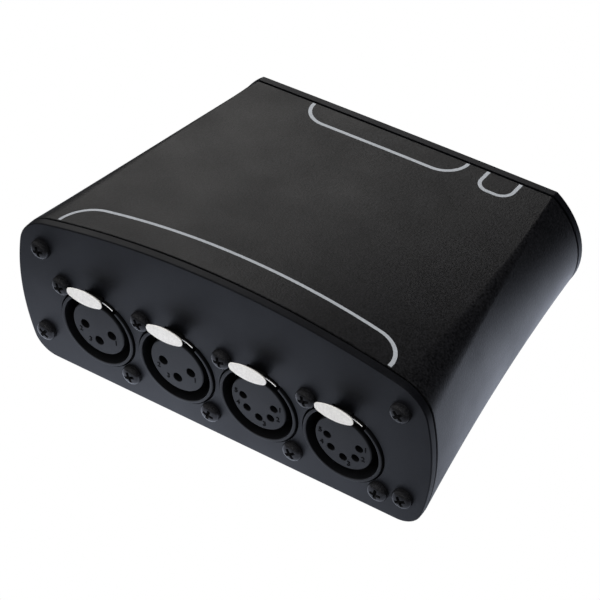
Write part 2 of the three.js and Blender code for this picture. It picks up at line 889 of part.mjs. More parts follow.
function boardHoles() {
  const hole = tailWidth / Math.SQRT2 + tailHoleClearance;
  const through = [boardTop - boardThickness - overrun, boardTop + overrun];
  const front = outlets.flatMap(({ x, contacts }) => (
    tailPlaces(contacts, outlet.insertDepth).map((tail) => [x + tail.x, tail.y])
  ));
  const rear = inlets.flatMap(({ x, contacts }) => (
    tailPlaces(contacts, inlet.cupDepth + inlet.carrierThickness)
      .map((tail) => [x - tail.x, caseDepth - tail.y])
  ));
  return [...front, ...rear].map((place) => upright(hole, through, place, tailHoleSides));
}

function mainBoard() {
  const front = plateThickness + boardEndGap;
  const rear = caseDepth - plateThickness - boardEndGap;
  const blank = raised([
    [-boardFrontHalfWidth, front],
    [boardFrontHalfWidth, front],
    [boardRearHalfWidth, rear],
    [-boardRearHalfWidth, rear],
  ], [boardTop - boardThickness, boardTop]);
  return cut(blank, boardHoles());
}

// A potted block with its upright edges cut off
function converterBlock() {
  const half = converter.width / 2;
  const deep = converter.depth / 2;
  const edge = converter.edge;
  return raised([
    [half - edge, -deep],
    [half, edge - deep],
    [half, deep - edge],
    [half - edge, deep],
    [edge - half, deep],
    [-half, deep - edge],
    [-half, edge - deep],
    [edge - half, -deep],
  ], [0, converter.height]);
}

function driverChip() {
  const half = driver.width / 2;
  const middle = driver.standOff + driver.height / 2;
  const top = driver.standOff + driver.height;
  const body = pushed([
    [driver.draft - half, driver.standOff],
    [half - driver.draft, driver.standOff],
    [half, middle],
    [half - driver.draft, top],
    [driver.draft - half, top],
    [-half, middle],
  ], [-driver.depth / 2, driver.depth / 2]);
  const leads = Array.from({ length: driverLead.count }, (_, step) => {
    const y = (step - (driverLead.count - 1) / 2) * driverLead.pitch;
    const reach = half + driverLead.reach;
    const along = [y - driverLead.width / 2, y + driverLead.width / 2];
    return box([-reach, reach], along, [0, driver.standOff + driverLead.seat]);
  });
  return unite([body, ...leads]);
}

function bulkCapacitor() {
  const radius = capacitor.radius;
  const waist = radius - capacitor.beadRadius;
  const geometry = new THREE.LatheGeometry([
    [0, 0],
    [radius, 0],
    [radius, capacitor.beadRise - capacitor.edge],
    [waist, capacitor.beadRise],
    [radius, capacitor.beadRise + capacitor.edge],
    [radius, capacitor.height - capacitor.edge],
    [radius - capacitor.edge, capacitor.height],
    [0, capacitor.height],
  ].map(([r, y]) => new THREE.Vector2(r, y)), roundSides);
  geometry.rotateX(Math.PI / 2);
  return solid(geometry);
}

function powerChoke() {
  const half = choke.size / 2;
  const edge = choke.cornerCut;
  const block = raised([
    [half - edge, -half],
    [half, edge - half],
    [half, half - edge],
    [half - edge, half],
    [edge - half, half],
    [-half, half - edge],
    [-half, edge - half],
    [edge - half, -half],
  ], [0, choke.height]);
  const core = upright(
    choke.coreRadius,
    [choke.height / 2, choke.height + choke.coreRise],
    [0, 0],
    roundSides,
  );
  return block.add(core);
}

// Assembly

const splitter = new THREE.Group();
const unit = new THREE.Group();
unit.position.set(0, -(foremost + rearmost) / 2, 0);
splitter.add(unit);

function place(parent, name, body, finish, position = [0, 0, 0]) {
  const mesh = new THREE.Mesh(surface(body), new THREE.MeshStandardMaterial(finishes[finish]));
  mesh.name = name;
  mesh.position.set(...position);
  parent.add(mesh);
}

// A group whose own +Y runs from the outer face of the rear plate into the case
const rearSide = new THREE.Group();
rearSide.position.set(0, caseDepth, 0);
rearSide.rotation.z = Math.PI;
unit.add(rearSide);

place(unit, 'case_sleeve', caseSleeve(), 'sleeve');
place(unit, 'front_plate', frontPlate(), 'plate');
place(rearSide, 'rear_plate', rearPlate(), 'plate');
feetPlaces().forEach(([x, y], index) => {
  place(unit, `foot_${index + 1}`, foot(), 'rubber', [x, y, caseFloor]);
});
frontScrews.forEach(([x, z], index) => {
  place(unit, `front_plate_screw_${index + 1}`, screw(), 'fastener', [x, 0, z + caseFloor]);
});
rearScrews.forEach(([x, z], index) => {
  place(rearSide, `rear_plate_screw_${index + 1}`, screw(), 'fastener', [x, 0, z + caseFloor]);
});

outlets.forEach(({ x, contacts }, index) => {
  const number = index + 1;
  const centre = [x, 0, axisHeight];
  place(unit, `output_${number}_shell`, outletShell(), 'connector', centre);
  place(unit, `output_${number}_insert`, outletInsert(contacts), 'connector', centre);
  place(unit, `output_${number}_latch`, latchLever(), 'latch', centre);
  place(unit, `output_${number}_latch_spring`, latchSpring(), 'steel', centre);
  [-screwDiagonal, screwDiagonal].forEach((offset, side) => {
    const name = `output_${number}_screw_${side + 1}`;
    place(unit, name, screw(), 'fastener', [x + offset, 0, axisHeight - offset]);
  });
});

inlets.forEach(({ x, contacts }, index) => {
  const number = index + 1;
  const centre = [-x, 0, axisHeight];
  place(rearSide, `input_${number}_shell`, inletShell(), 'connector', centre);
  place(rearSide, `input_${number}_pins`, inletInsert(contacts), 'connector', centre);
  [-screwDiagonal, screwDiagonal].forEach((offset, side) => {
    const name = `input_${number}_screw_${side + 1}`;
    place(rearSide, name, screw(), 'fastener', [offset - x, 0, axisHeight - offset]);
  });
});

const jackPlace = [-jack.x, 0, boardTop + jack.riseAboveBoard];
place(rearSide, 'power_jack', jackBody(), 'connector', jackPlace);
place(rearSide, 'power_jack_pin', jackPin(), 'steel', jackPlace);

place(unit, 'main_board', mainBoard(), 'board');
const converterDepth = outlet.bodyDepth + converter.behindOutlets;
const driverDepth = converterDepth + driver.behindConverter;
outlets.forEach(({ x }, index) => {
  const number = index + 1;
  place(unit, `converter_${number}`, converterBlock(), 'module', [x, converterDepth, boardTop]);
  place(unit, `driver_${number}`, driverChip(), 'module', [x, driverDepth, boardTop]);
});
const jackFront = caseDepth - jack.depth;
const capacitorPlace = [capacitor.x, jackFront - capacitor.aheadOfJack, boardTop];
const chokePlace = [choke.x, jackFront - choke.aheadOfJack, boardTop];
place(unit, 'bulk_capacitor', bulkCapacitor(), 'sleeveFoil', capacitorPlace);
place(unit, 'power_choke', powerChoke(), 'ferrite', chokePlace);

export default splitter;
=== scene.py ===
# %% [markdown]
# A DMX splitter is a small box that copies one lighting signal to several outputs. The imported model
# already holds every part at its real size. This lesson gives those parts their looks: finer shapes
# where the eye comes close, and a finish for every surface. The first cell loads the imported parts,
# because each later piece takes its place from them.

import math

import bmesh
import bpy
from mathutils import Matrix, Vector


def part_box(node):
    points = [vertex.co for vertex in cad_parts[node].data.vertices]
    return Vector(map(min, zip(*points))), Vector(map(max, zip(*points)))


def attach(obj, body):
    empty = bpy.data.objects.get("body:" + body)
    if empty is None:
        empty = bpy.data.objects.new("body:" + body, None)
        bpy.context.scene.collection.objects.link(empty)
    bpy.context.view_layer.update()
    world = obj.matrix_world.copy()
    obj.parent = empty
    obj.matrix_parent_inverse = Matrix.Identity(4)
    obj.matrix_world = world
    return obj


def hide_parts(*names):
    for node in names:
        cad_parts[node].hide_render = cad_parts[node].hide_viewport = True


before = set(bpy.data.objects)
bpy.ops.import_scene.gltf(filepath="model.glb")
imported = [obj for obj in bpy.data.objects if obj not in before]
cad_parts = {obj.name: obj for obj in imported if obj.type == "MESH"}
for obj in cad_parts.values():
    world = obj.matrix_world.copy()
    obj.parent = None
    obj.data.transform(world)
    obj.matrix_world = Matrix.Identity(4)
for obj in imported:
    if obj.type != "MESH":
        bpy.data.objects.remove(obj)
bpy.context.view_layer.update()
MM = 0.001
OUTLETS = range(1, 5)
INLETS = range(1, 3)

# %% [markdown]
# Blender works in metres, but a maker thinks of a box this small in millimetres. So sizes below are
# in millimetres, and one constant turns them into metres when a mesh is made. The places come from
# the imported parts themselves: the plates give the front and the rear, and the contact inserts give
# the axes of the connectors.


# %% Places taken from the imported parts
def box_mm(node):
    low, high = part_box(node)
    return Vector(low) / MM, Vector(high) / MM


def middle(node):
    """The middle of a part's box on each axis, in millimetres."""
    return [(low + high) / 2 for low, high in zip(*box_mm(node))]


INSERT_RADIUS = 7.95
front_low, front_high = box_mm("front_plate")
rear_low, rear_high = box_mm("rear_plate")
FRONT_Y = front_low.y
REAR_Y = rear_high.y
CASE_FLOOR = front_low.z
AXIS_Z = box_mm("output_1_insert")[1].z - INSERT_RADIUS
outlet_x = {n: middle(f"output_{n}_shell")[0] for n in OUTLETS}
inlet_x = {n: middle(f"input_{n}_shell")[0] for n in INLETS}
print("front", FRONT_Y, "rear", REAR_Y, "axis height", AXIS_Z)

# %% [markdown]
# The camera comes first, because every later choice is judged through it. It stands to the right of
# the box, well above it, and its long lens keeps the lines nearly parallel. The roll of less than a
# degree is the slight tilt of the photograph itself.

# %% Camera
CAMERA_PLACE = Vector((225.4, -340.32, 390.07))
CAMERA_TARGET = Vector((0.14, -6.2, 19.0))
CAMERA_ROLL = math.radians(0.78)
CAMERA_LENS = 129.77


def add_object(name, data):
    item = bpy.data.objects.new(name, data)
    bpy.context.scene.collection.objects.link(item)
    return item


def add_camera():
    camera = add_object("camera", bpy.data.cameras.new("camera"))
    aim = (CAMERA_TARGET - CAMERA_PLACE).to_track_quat("-Z", "Y").to_matrix().to_4x4()
    turn = Matrix.Rotation(-CAMERA_ROLL, 4, "Z")
    camera.matrix_world = Matrix.Translation(CAMERA_PLACE * MM) @ aim @ turn
    camera.data.lens = CAMERA_LENS
    camera.data.sensor_width = 36
    camera.data.clip_start = 0.01
    camera.data.clip_end = 50
    bpy.context.scene.camera = camera


add_camera()
print("camera lens", CAMERA_LENS)

# %% [markdown]
# Black satin parts show little colour of their own. What the eye reads is what they mirror: a pool
# of cool light on the table around the box, a room that is dark at the rear right and paler at the
# front left, and one warm softbox behind the box on the left. So the room is built from those
# three. The table and the sky are white only where the camera looks straight at them. To everything
# else the table fades from bright to dark within a hand's width of the box, which is what draws the
# black band along its side. Two more lamps, which nothing mirrors, light what is pale: the tabs and
# the printed lines.


# %% Helpers for shader nodes
def fill_in(tree, node, inputs):
    """Gives each input a value, or a link from another node's socket."""
    for key, value in inputs.items():
        if isinstance(value, bpy.types.NodeSocket):
            tree.links.new(value, node.inputs[key])
        else:
            node.inputs[key].default_value = value


def add_node(tree, kind, inputs=None, **settings):
    node = tree.nodes.new(kind)
    for key, value in settings.items():
        setattr(node, key, value)
    fill_in(tree, node, inputs or {})
    return node


def ramp(tree, source, stops):
    """A colour ramp from a list of (place, grey or colour)."""
    node = add_node(tree, "ShaderNodeValToRGB", {"Fac": source})
    elements = node.color_ramp.elements
    while len(elements) < len(stops):
        elements.new(0.5)
    for element, (place, colour) in zip(elements, stops):
        shade = (colour, colour, colour) if isinstance(colour, (int, float)) else colour
        element.position = place
        element.color = (*shade, 1)
    return node.outputs["Color"]


def mixed(tree, share, first, second):
    """The first shader where the share is 0, and the second where it is 1."""
    node = add_node(tree, "ShaderNodeMixShader", {"Fac": share, 1: first, 2: second})
    return node.outputs["Shader"]


def blank_tree(owner):
    """The node tree of a world or a material, with nothing in it."""
    owner.use_nodes = True
    owner.node_tree.nodes.clear()
    return owner.node_tree


# %% The room
WHITE = {"Color": (1, 1, 1, 1), "Strength": 1.0}
SKY_FILL = 0.30
ROOM_DARK = (0.02, 0.021, 0.027)
ROOM_LIT_SIDE = Vector((-0.68, -0.65, -0.2)).normalized()
ROOM_STOPS = [(0.45, ROOM_DARK), (0.62, 0.08), (0.85, 0.24)]


def add_room():
    world = bpy.data.worlds.new("studio")
    bpy.context.scene.world = world
    tree = blank_tree(world)
    place = add_node(tree, "ShaderNodeTexCoord").outputs["Generated"]
    towards = add_node(
        tree, "ShaderNodeVectorMath", {0: place, 1: ROOM_LIT_SIDE}, operation="DOT_PRODUCT",
    )
    share = add_node(
        tree, "ShaderNodeMapRange",
        {"Value": towards.outputs["Value"], "From Min": -1.0, "From Max": 1.0},
    )
    tone = ramp(tree, share.outputs["Result"], ROOM_STOPS)
    mirrored = add_node(tree, "ShaderNodeBackground", {"Color": tone}).outputs["Background"]
    sky = {**WHITE, "Strength": SKY_FILL}
    fill = add_node(tree, "ShaderNodeBackground", sky).outputs["Background"]
    white = add_node(tree, "ShaderNodeBackground", WHITE).outputs["Background"]
    ray = add_node(tree, "ShaderNodeLightPath").outputs
    unseen = mixed(tree, ray["Is Glossy Ray"], fill, mirrored)
    surface = mixed(tree, ray["Is Camera Ray"], unseen, white)
    add_node(tree, "ShaderNodeOutputWorld", {"Surface": surface})


# %% The table
FLOOR_SIZE = 1.1
POOL_REACH = 0.2
POOL_STRETCH = (1.18, 0.88, 1.0)
POOL_TURN = math.radians(26)
POOL_STOPS = [(0.27, 1.0), (0.37, 0.6), (0.52, 0.24), (0.72, 0.045), (0.95, 0.015)]
POOL_COLOUR = (0.77, 0.83, 0.98)
POOL_PLACE = (0.0, 0.012, 0.0)
POOL_GLOW = 0.88


def make_paper():
    """The table's surface: white to the camera, and a fading pool of cool light to all else."""
    paper = bpy.data.materials.new("white_paper")
    tree = blank_tree(paper)
    stretch = add_node(
        tree, "ShaderNodeMapping",
        {
            "Vector": add_node(tree, "ShaderNodeTexCoord").outputs["Object"],
            "Location": POOL_PLACE,
            "Rotation": (0, 0, POOL_TURN),
            "Scale": POOL_STRETCH,
        },
        vector_type="TEXTURE",
    )
    away = add_node(
        tree, "ShaderNodeVectorMath", {0: stretch.outputs["Vector"]}, operation="LENGTH",
    )
    share = add_node(
        tree, "ShaderNodeMath", {0: away.outputs["Value"], 1: POOL_REACH}, operation="DIVIDE",
    )
    stops = [(at, tuple(level * c for c in POOL_COLOUR)) for at, level in POOL_STOPS]
    pool = ramp(tree, share.outputs["Value"], stops)
    matt = add_node(tree, "ShaderNodeBsdfDiffuse", {"Color": pool}).outputs["BSDF"]
    glow = add_node(tree, "ShaderNodeEmission", {"Color": pool, "Strength": POOL_GLOW})
    lit = add_node(tree, "ShaderNodeAddShader", {0: matt, 1: glow.outputs["Emission"]})
    white = add_node(tree, "ShaderNodeEmission", WHITE).outputs["Emission"]
    by_camera = add_node(tree, "ShaderNodeLightPath").outputs["Is Camera Ray"]
    surface = mixed(tree, by_camera, lit.outputs["Shader"], white)
    add_node(tree, "ShaderNodeOutputMaterial", {"Surface": surface})
    return paper


def add_floor():
    half = FLOOR_SIZE / 2
    mesh = bpy.data.meshes.new("floor")
    corners = [(-half, -half, 0), (half, -half, 0), (half, half, 0), (-half, half, 0)]
    mesh.from_pydata(corners, [], [(0, 1, 2, 3)])
    mesh.materials.append(make_paper())
    add_object("floor", mesh)


# %% The lamps
def add_lamp(name, place, aim, size, watts, colour=(1, 1, 1), mirrored=True):
    data = bpy.data.lights.new(name, "AREA")
    data.shape = "RECTANGLE"
    data.size, data.size_y = size
    data.energy = watts
    data.color = colour
    lamp = add_object(name, data)
    lamp.location = place
    lamp.rotation_euler = (Vector(aim) - Vector(place)).to_track_quat("-Z", "Y").to_euler()
    lamp.visible_camera = False
    lamp.visible_glossy = mirrored


add_room()
add_floor()
add_lamp(
    "overhead", place=(0.0, -0.2, 1.2), aim=(0, 0, 0), size=(1.2, 1.2), watts=10.0, mirrored=False,
)
add_lamp(
    "front_fill", place=(-0.4, -1.2, 0.4), aim=(0, 0, 0.03), size=(0.9, 0.6), watts=10.0,
    colour=(1.0, 0.98, 0.94), mirrored=False,
)
add_lamp(
    "rear_softbox", place=(-1.05, 1.02, 0.85), aim=(0, 0, 0.03), size=(1.2, 0.85), watts=4.1,
    colour=(1.0, 0.98, 0.95),
)
bpy.context.scene.view_settings.view_transform = "Standard"
print("lamps", len(bpy.data.lights))

# %% [markdown]
# Most parts here are either turned on a lathe, cut from a plate or drawn through changing sections.
# A few helpers cover all three: each one skins a closed mesh over rings of points. A boolean can
# leave two points a few microns apart, and such a pair makes a face of no size, so points that near
# are merged at once.

# %% Closed meshes from rings of points
WELD = 0.002


def weld(mesh, outwards=False):
    """Merges points that a boolean or a bevel left within two microns of one another."""
    work = bmesh.new()
    work.from_mesh(mesh)
    bmesh.ops.remove_doubles(work, verts=work.verts, dist=WELD * MM)
    bmesh.ops.dissolve_degenerate(work, edges=work.edges, dist=WELD * MM)
    if outwards:
        bmesh.ops.recalc_face_normals(work, faces=work.faces)
    work.to_mesh(mesh)
    work.free()


def add_piece(name, vertices, faces):
    """A mesh from points in millimetres, with its faces turned outwards."""
    mesh = bpy.data.meshes.new(name)
    mesh.from_pydata([Vector(v) * MM for v in vertices], [], faces)
    weld(mesh, outwards=True)
    return add_object(name, mesh)


def skin(name, rings):
    """A closed body through rings of equally many points, with a flat cap at each end."""
    count = len(rings[0])
    faces = []
    for ring in range(len(rings) - 1):
        for step in range(count):
            here, after = ring * count + step, ring * count + (step + 1) % count
            faces.append((here, after, after + count, here + count))
    last = (len(rings) - 1) * count
    faces.append(tuple(range(count)))
    faces.append(tuple(range(last, last + count)))
    return add_piece(name, [point for ring in rings for point in ring], faces)


def upright(outline, y):
    """An outline of (x, z) as a ring at a place along Y."""
    return [(x, y, z) for x, z in outline]


def pushed(name, outline, y_from, y_to):
    """An outline of (x, z) pushed along Y."""
    return skin(name, [upright(outline, y) for y in (y_from, y_to)])


def pushed_across(name, outline, half_width):
    """An outline of (y, z) pushed along X, to both sides of the middle."""
    return skin(name, [[(x, y, z) for y, z in outline] for x in (-half_width, half_width)])


def block(name, half, y, z, x=0):
    """A box between two values along Y and Z, to both sides of a place along X."""
    left, right, (low, high) = x - half, x + half, z
    return pushed(name, [(left, low), (right, low), (right, high), (left, high)], *y)


# %% Round shapes
HUB = 0.3
OVERRUN = 1.0


def around(centre, radius, angles):
    """Points on a circle at angles in radians."""
    return [(centre[0] + radius * math.cos(a), centre[1] + radius * math.sin(a)) for a in angles]


def full_turn(sides):
    return [2 * math.pi * step / sides for step in range(sides)]


def round_corner(centre, radius, start, end, steps):
    """Points on an arc between two angles in degrees, for profiles and outlines alike."""
    angles = [math.radians(start + (end - start) * step / steps) for step in range(steps + 1)]
    return around(centre, radius, angles)


def quarter_round(radius, angles):
    """How far a rounded edge stands back on its two sides, at some angles in degrees."""
    turn = [math.radians(angle) for angle in angles]
    return [(radius * (1 - math.sin(a)), radius * (1 - math.cos(a))) for a in turn]


def turned(name, profile, x=0, z=0, sides=96):
    """A profile of (radius, y) turned about an axis along Y. A small disc closes each end."""
    angles = full_turn(sides)
    return skin(name, [
        [(across, y, up) for up, across in around((z, x), radius, angles)] for radius, y in profile
    ])


def bar(name, radius, front, rear, x=0, z=0, sides=96):
    """A round bar along Y."""
    return turned(name, [(radius, front), (radius, rear)], x, z, sides)


def rim(radius, front, size, steps=6):
    """The rounded edge between the front face of a turned piece and its side."""
    return round_corner((radius - size, front + size), size, -90, 0, steps)


def drum(name, radius, front, size, rear, sides=96, steps=6, hub=HUB):
    """A thick bar along Y with a rounded front edge."""
    profile = [(hub, front), *rim(radius, front, size, steps), (radius, rear), (hub, rear)]
    return turned(name, profile, sides=sides)


def bore(name, radius, face, size, depth, steps=6):
    """The tool that bores a hole into a face and rounds the edge of its mouth."""
    wide, front = radius + size, face - OVERRUN
    edge = round_corner((wide, face + size), size, -90, -180, steps)
    return turned(name, [(HUB, front), (wide, front), *edge, (radius, depth), (HUB, depth)])


def axle(name, radius, half_length, y, z):
    """A round bar along X."""
    return pushed_across(name, around((y, z), radius, full_turn(32)), half_length)


# %% [markdown]
# A boolean drills or joins such bodies, as a workshop would, and a bevel breaks their edges. Both
# are modifiers. A helper applies them at once, so that what is left is a plain mesh.


# %% Booleans and bevels
def plain_mesh(item):
    """A new mesh of what an object looks like with its modifiers."""
    graph = bpy.context.evaluated_depsgraph_get()
    return bpy.data.meshes.new_from_object(item.evaluated_get(graph))


def bake(piece):
    """Applies the piece's modifiers, so that its mesh holds the result."""
    result = plain_mesh(piece)
    old = piece.data
    piece.modifiers.clear()
    piece.data = result
    bpy.data.meshes.remove(old)


def discard(*pieces):
    for piece in pieces:
        bpy.data.objects.remove(piece)


def combine(piece, tools, operation):
    for tool in tools:
        modifier = piece.modifiers.new(operation.lower(), "BOOLEAN")
        modifier.operation = operation
        modifier.solver = "EXACT"
        modifier.object = tool
    bake(piece)
    weld(piece.data)
    discard(*tools)
    return piece


def cut(piece, *tools):
    return combine(piece, tools, "DIFFERENCE")


def join(piece, *others):
    return combine(piece, others, "UNION")


def soften(piece, width):
    """Rounds the sharp edges."""
    modifier = piece.modifiers.new("edge", "BEVEL")
    modifier.width = width * MM
    modifier.segments = 2
    modifier.limit_method = "ANGLE"
    modifier.angle_limit = math.radians(50)
    modifier.use_clamp_overlap = True
    bake(piece)
    weld(piece.data)
    return piece


# %% [markdown]
# A finished piece is shaded smoothly except over sharp edges, and its large faces stay flat. Then it
# gets its finish, the body that it moves with, and the imported parts that it stands for.


# %% Dress a piece
def smooth(piece):
    piece.data.polygons.foreach_set("use_smooth", [True] * len(piece.data.polygons))
    piece.data.set_sharp_from_angle(angle=math.radians(32))
    modifier = piece.modifiers.new("flat_faces", "WEIGHTED_NORMAL")
    modifier.keep_sharp = True
    bake(piece)


def dress(piece, body, slot, finish, *nodes):
    piece.data.materials.clear()
    piece.data.materials.append(finish)
    smooth(piece)
    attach(piece, body)
    if nodes:
        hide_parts(*nodes)
    return piece


# %% [markdown]
# A finish is more than a colour. Each one below starts from a base colour and adds what a close look
# shows: a mottled tone, a roughness that wanders, and a grain that the light catches. All patterns
# read Object coordinates in metres, so a grain of half a millimetre stays that size on every piece.
# One builder serves every finish, and each finish then sets its own values.

# %% One builder for all finishes
PATCH_SHARE = 2.5
ROUGH_SHARE = 0.12


def noise(tree, place, size, detail, roughness):
    """A noise whose features have a size in millimetres."""
    inputs = {"Vector": place, "Scale": 1 / (size * MM), "Detail": detail, "Roughness": roughness}
    return add_node(tree, "ShaderNodeTexNoise", inputs).outputs["Fac"]


def wander(tree, source, reach, value, share):
    """Turns a noise into a value that strays by a share of itself to both sides."""
    node = add_node(tree, "ShaderNodeMapRange", {
        "Value": source,
        "From Min": 0.5 - reach,
        "From Max": 0.5 + reach,
        "To Min": value * (1 - share),
        "To Max": value * (1 + share),
    })
    return node.outputs["Result"]


def grain_finish(
    name, colour, roughness, grain_size, grain_depth, metallic=0.0, specular=0.5, tint=(1, 1, 1),
    mottle_size=9.0, mottle_share=0.25, speckle_share=0.3,
):
    """A moulded, painted or plated surface. Sizes are in millimetres."""
    material = bpy.data.materials.new(name)
    material.use_nodes = True
    tree = material.node_tree
    place = add_node(tree, "ShaderNodeTexCoord").outputs["Object"]

    mottle = noise(tree, place, mottle_size, detail=4.0, roughness=0.6)
    light = tuple(min(1, c * (1 + mottle_share)) for c in colour)
    dark = tuple(c * (1 - mottle_share) for c in colour)
    shade = ramp(tree, mottle, [(0.3, dark), (0.7, light)])
    patches = noise(tree, place, PATCH_SHARE * mottle_size, detail=3.0, roughness=0.55)
    grain = noise(tree, place, grain_size, detail=3.0, roughness=0.5)
    speckle = wander(tree, grain, reach=0.15, value=1.0, share=speckle_share)
    tone = add_node(tree, "ShaderNodeVectorMath", {0: shade, "Scale": speckle}, operation="SCALE")
    bump = add_node(tree, "ShaderNodeBump", {
        "Height": grain, "Distance": grain_depth * MM, "Strength": 1.0,
    })
    fill_in(tree, tree.nodes["Principled BSDF"], {
        "Base Color": tone.outputs["Vector"],
        "Roughness": wander(tree, patches, reach=0.2, value=roughness, share=ROUGH_SHARE),
        "Normal": bump.outputs["Normal"],
        "Metallic": metallic,
        "Specular IOR Level": specular,
        "Specular Tint": (*tint, 1),
    })
    return material


# %% Finishes
case_finish = grain_finish(
    "grained_case", (0.0055, 0.0055, 0.0062), 0.42, grain_size=0.5, grain_depth=0.05,
    speckle_share=0.95,
)
plate_look = {
    "colour": (0.004, 0.0042, 0.0055), "roughness": 0.46, "grain_size": 0.3, "grain_depth": 0.01,
    "tint": (0.95, 0.97, 1.0),
}
plate_finish = grain_finish("satin_plate", **plate_look)
# Painted shade: a copy of the plate paint with weaker reflection, for the rim and the hole walls.
plate_rim_painted_shade = grain_finish("plate_rim_shade", **plate_look, specular=0.3)
screw_finish = grain_finish(
    "blackened_screw", (0.019, 0.019, 0.021), 0.2, grain_size=0.5, grain_depth=0.006, metallic=0.5,
)
connector_finish = grain_finish(
    "moulded_connector", (0.0055, 0.0057, 0.0065), 0.42, grain_size=0.35, grain_depth=0.006,
    specular=0.4, tint=(0.97, 0.98, 1.0),
)
# Painted shade: the raised numerals are the core's own plastic, made darker and duller than it.
numeral_painted_shade = grain_finish(
    "numeral_shade", (0.002, 0.002, 0.002), 0.7, grain_size=0.3, grain_depth=0.004, specular=0.12,
)
latch_finish = grain_finish(
    "satin_nickel", (0.95, 0.935, 0.9), 0.4, grain_size=0.45, grain_depth=0.02, metallic=0.25,
    mottle_size=1.5, mottle_share=0.05, speckle_share=0.05,
)
# Painted shade: a near-black copy for the silver lever's faces behind the tab.
lever_painted_shade = grain_finish(
    "lever_back_painted_shade", (0.006, 0.006, 0.006), 0.5, grain_size=0.35, grain_depth=0.008, specular=0.25,
)
steel_finish = grain_finish(
    "spring_steel", (0.55, 0.55, 0.55), 0.25, grain_size=0.3, grain_depth=0.003, metallic=1.0,
)
rubber_finish = grain_finish(
    "foot_rubber", (0.012, 0.012, 0.012), 0.75, grain_size=0.4, grain_depth=0.015,
)
ink_finish = grain_finish(
    "printed_ink", (0.40, 0.42, 0.45), 0.5, grain_size=0.5, grain_depth=0.004, mottle_share=0.06,
    speckle_share=0.08,
)
board_finish = grain_finish(
    "solder_mask", (0.012, 0.10, 0.035), 0.35, grain_size=1.2, grain_depth=0.01, mottle_size=4.0,
)
module_finish = grain_finish(
    "potted_block", (0.012, 0.012, 0.013), 0.5, grain_size=0.25, grain_depth=0.01,
)
foil_finish = grain_finish(
    "capacitor_foil", (0.012, 0.02, 0.07), 0.28, grain_size=0.8, grain_depth=0.004,
)
ferrite_finish = grain_finish(
    "ferrite", (0.045, 0.045, 0.048), 0.65, grain_size=0.3, grain_depth=0.02,
)
print("finishes", len(bpy.data.materials))

# %% [markdown]
# The case is one sleeve, drawn from a tall arched section at the front to a low flat-topped one at
# the rear. A Bezier sheet could be pulled into shape by hand, but both ends are exact arcs, so a
# formula is better. Each section is a flat bottom, a corner arc, a bulging side, a corner arc and
# an arched top, each tangent to the next. The sections between the ends mix the two, with most of
# the change near the front, which gives the sleeve its flare.

# %% Sections at the two ends
PLATE = 2.3
SEAM = 0.25
WALL = 2.5
FLARE_SHARE = 0.6
SLEEVE_FRONT = FRONT_Y + PLATE + SEAM
SLEEVE_REAR = REAR_Y - PLATE - SEAM
FRONT_SECTION = {
    "width": front_high.x - front_low.x,
    "height": front_high.z - front_low.z,
    "bulge": 23.1,
    "side": 67.0,
    "arch": 214.0,
    "top_corner": 11.0,
    "bottom_corner": 7.0,
}
REAR_SECTION = {
    "width": rear_high.x - rear_low.x,
    "height": rear_high.z - rear_low.z,
    "bulge": 20.8,
    "side": 21.0,
    "arch": 4000.0,
    "top_corner": 0.8,
    "bottom_corner": 13.7,
}
print("sleeve from", round(SLEEVE_FRONT, 2), "to", round(SLEEVE_REAR, 2))


# %% One section as an outline
SMALLEST_CORNER = 0.3
OUTLINE_STEPS = {"bottom": 10, "side": 26, "top": 12, "arch": 30}


def arc_points(centre, radius, start, end, steps):
    """Points on an arc between two angles in radians, without the last one."""
    return around(centre, radius, [start + (end - start) * n / steps for n in range(steps)])


def heading(start, end):
    return math.atan2(end[1] - start[1], end[0] - start[0])


def case_outline(section, inset):
    """One cross-section of the case as (x, z) points, drawn in by an inset."""
    side_radius = section["side"] - inset
    arch_radius = section["arch"] - inset
    top_radius = max(section["top_corner"] - inset, SMALLEST_CORNER)
    bottom_radius = section["bottom_corner"] - inset
    side = (section["width"] / 2 - section["side"], section["bulge"])
    arch = (0.0, section["height"] - section["arch"])

    bottom_z = inset + bottom_radius
    reach = (side_radius - bottom_radius) ** 2 - (side[1] - bottom_z) ** 2
    bottom = (side[0] + math.sqrt(max(reach, 0)), bottom_z)

    from_side, from_arch = side_radius - top_radius, arch_radius - top_radius
    between = math.dist(side, arch)
    along = (from_side**2 - from_arch**2 + between**2) / (2 * between)
    across = math.sqrt(from_side**2 - along**2)
    unit = ((arch[0] - side[0]) / between, (arch[1] - side[1]) / between)
    top = (
        side[0] + along * unit[0] - across * unit[1],
        side[1] + along * unit[1] + across * unit[0],
    )

    low, high, crown = heading(side, bottom), heading(side, top), heading(arch, top)
    half = [
        *arc_points(bottom, bottom_radius, -math.pi / 2, low, OUTLINE_STEPS["bottom"]),
        *arc_points(side, side_radius, low, high, OUTLINE_STEPS["side"]),
        *arc_points(top, top_radius, high, crown, OUTLINE_STEPS["top"]),
        *arc_points(arch, arch_radius, crown, math.pi / 2, OUTLINE_STEPS["arch"]),
    ]
    left = [(-x, z) for x, z in reversed(half)]
    outline = [*half, (0.0, arch[1] + arch_radius), *left]
    return [(x, z + CASE_FLOOR) for x, z in outline]


# %% Sections between the ends
def section_at(y):
    """The section at a place along the case."""
    share = min(max((y - SLEEVE_FRONT) / (SLEEVE_REAR - SLEEVE_FRONT), 0), 1)
    weight = (1 - share) * (1 - FLARE_SHARE * share)
    section = {
        key: REAR_SECTION[key] + (FRONT_SECTION[key] - REAR_SECTION[key]) * weight
        for key in FRONT_SECTION
    }
    front_bend, rear_bend = 1 / FRONT_SECTION["arch"], 1 / REAR_SECTION["arch"]
    section["arch"] = 1 / (rear_bend + (front_bend - rear_bend) * weight)
    return section


# %% [markdown]
# The sleeve is skinned over many sections, a bore of the same form is cut out of it, and its two
# ends get a small round, because a sharp end would catch no light along the seam. Inside stand a
# boss for each corner screw and two ribs for the board. They are cut out of the bore before it cuts
# the sleeve, so that what is left behind grows out of the wall.

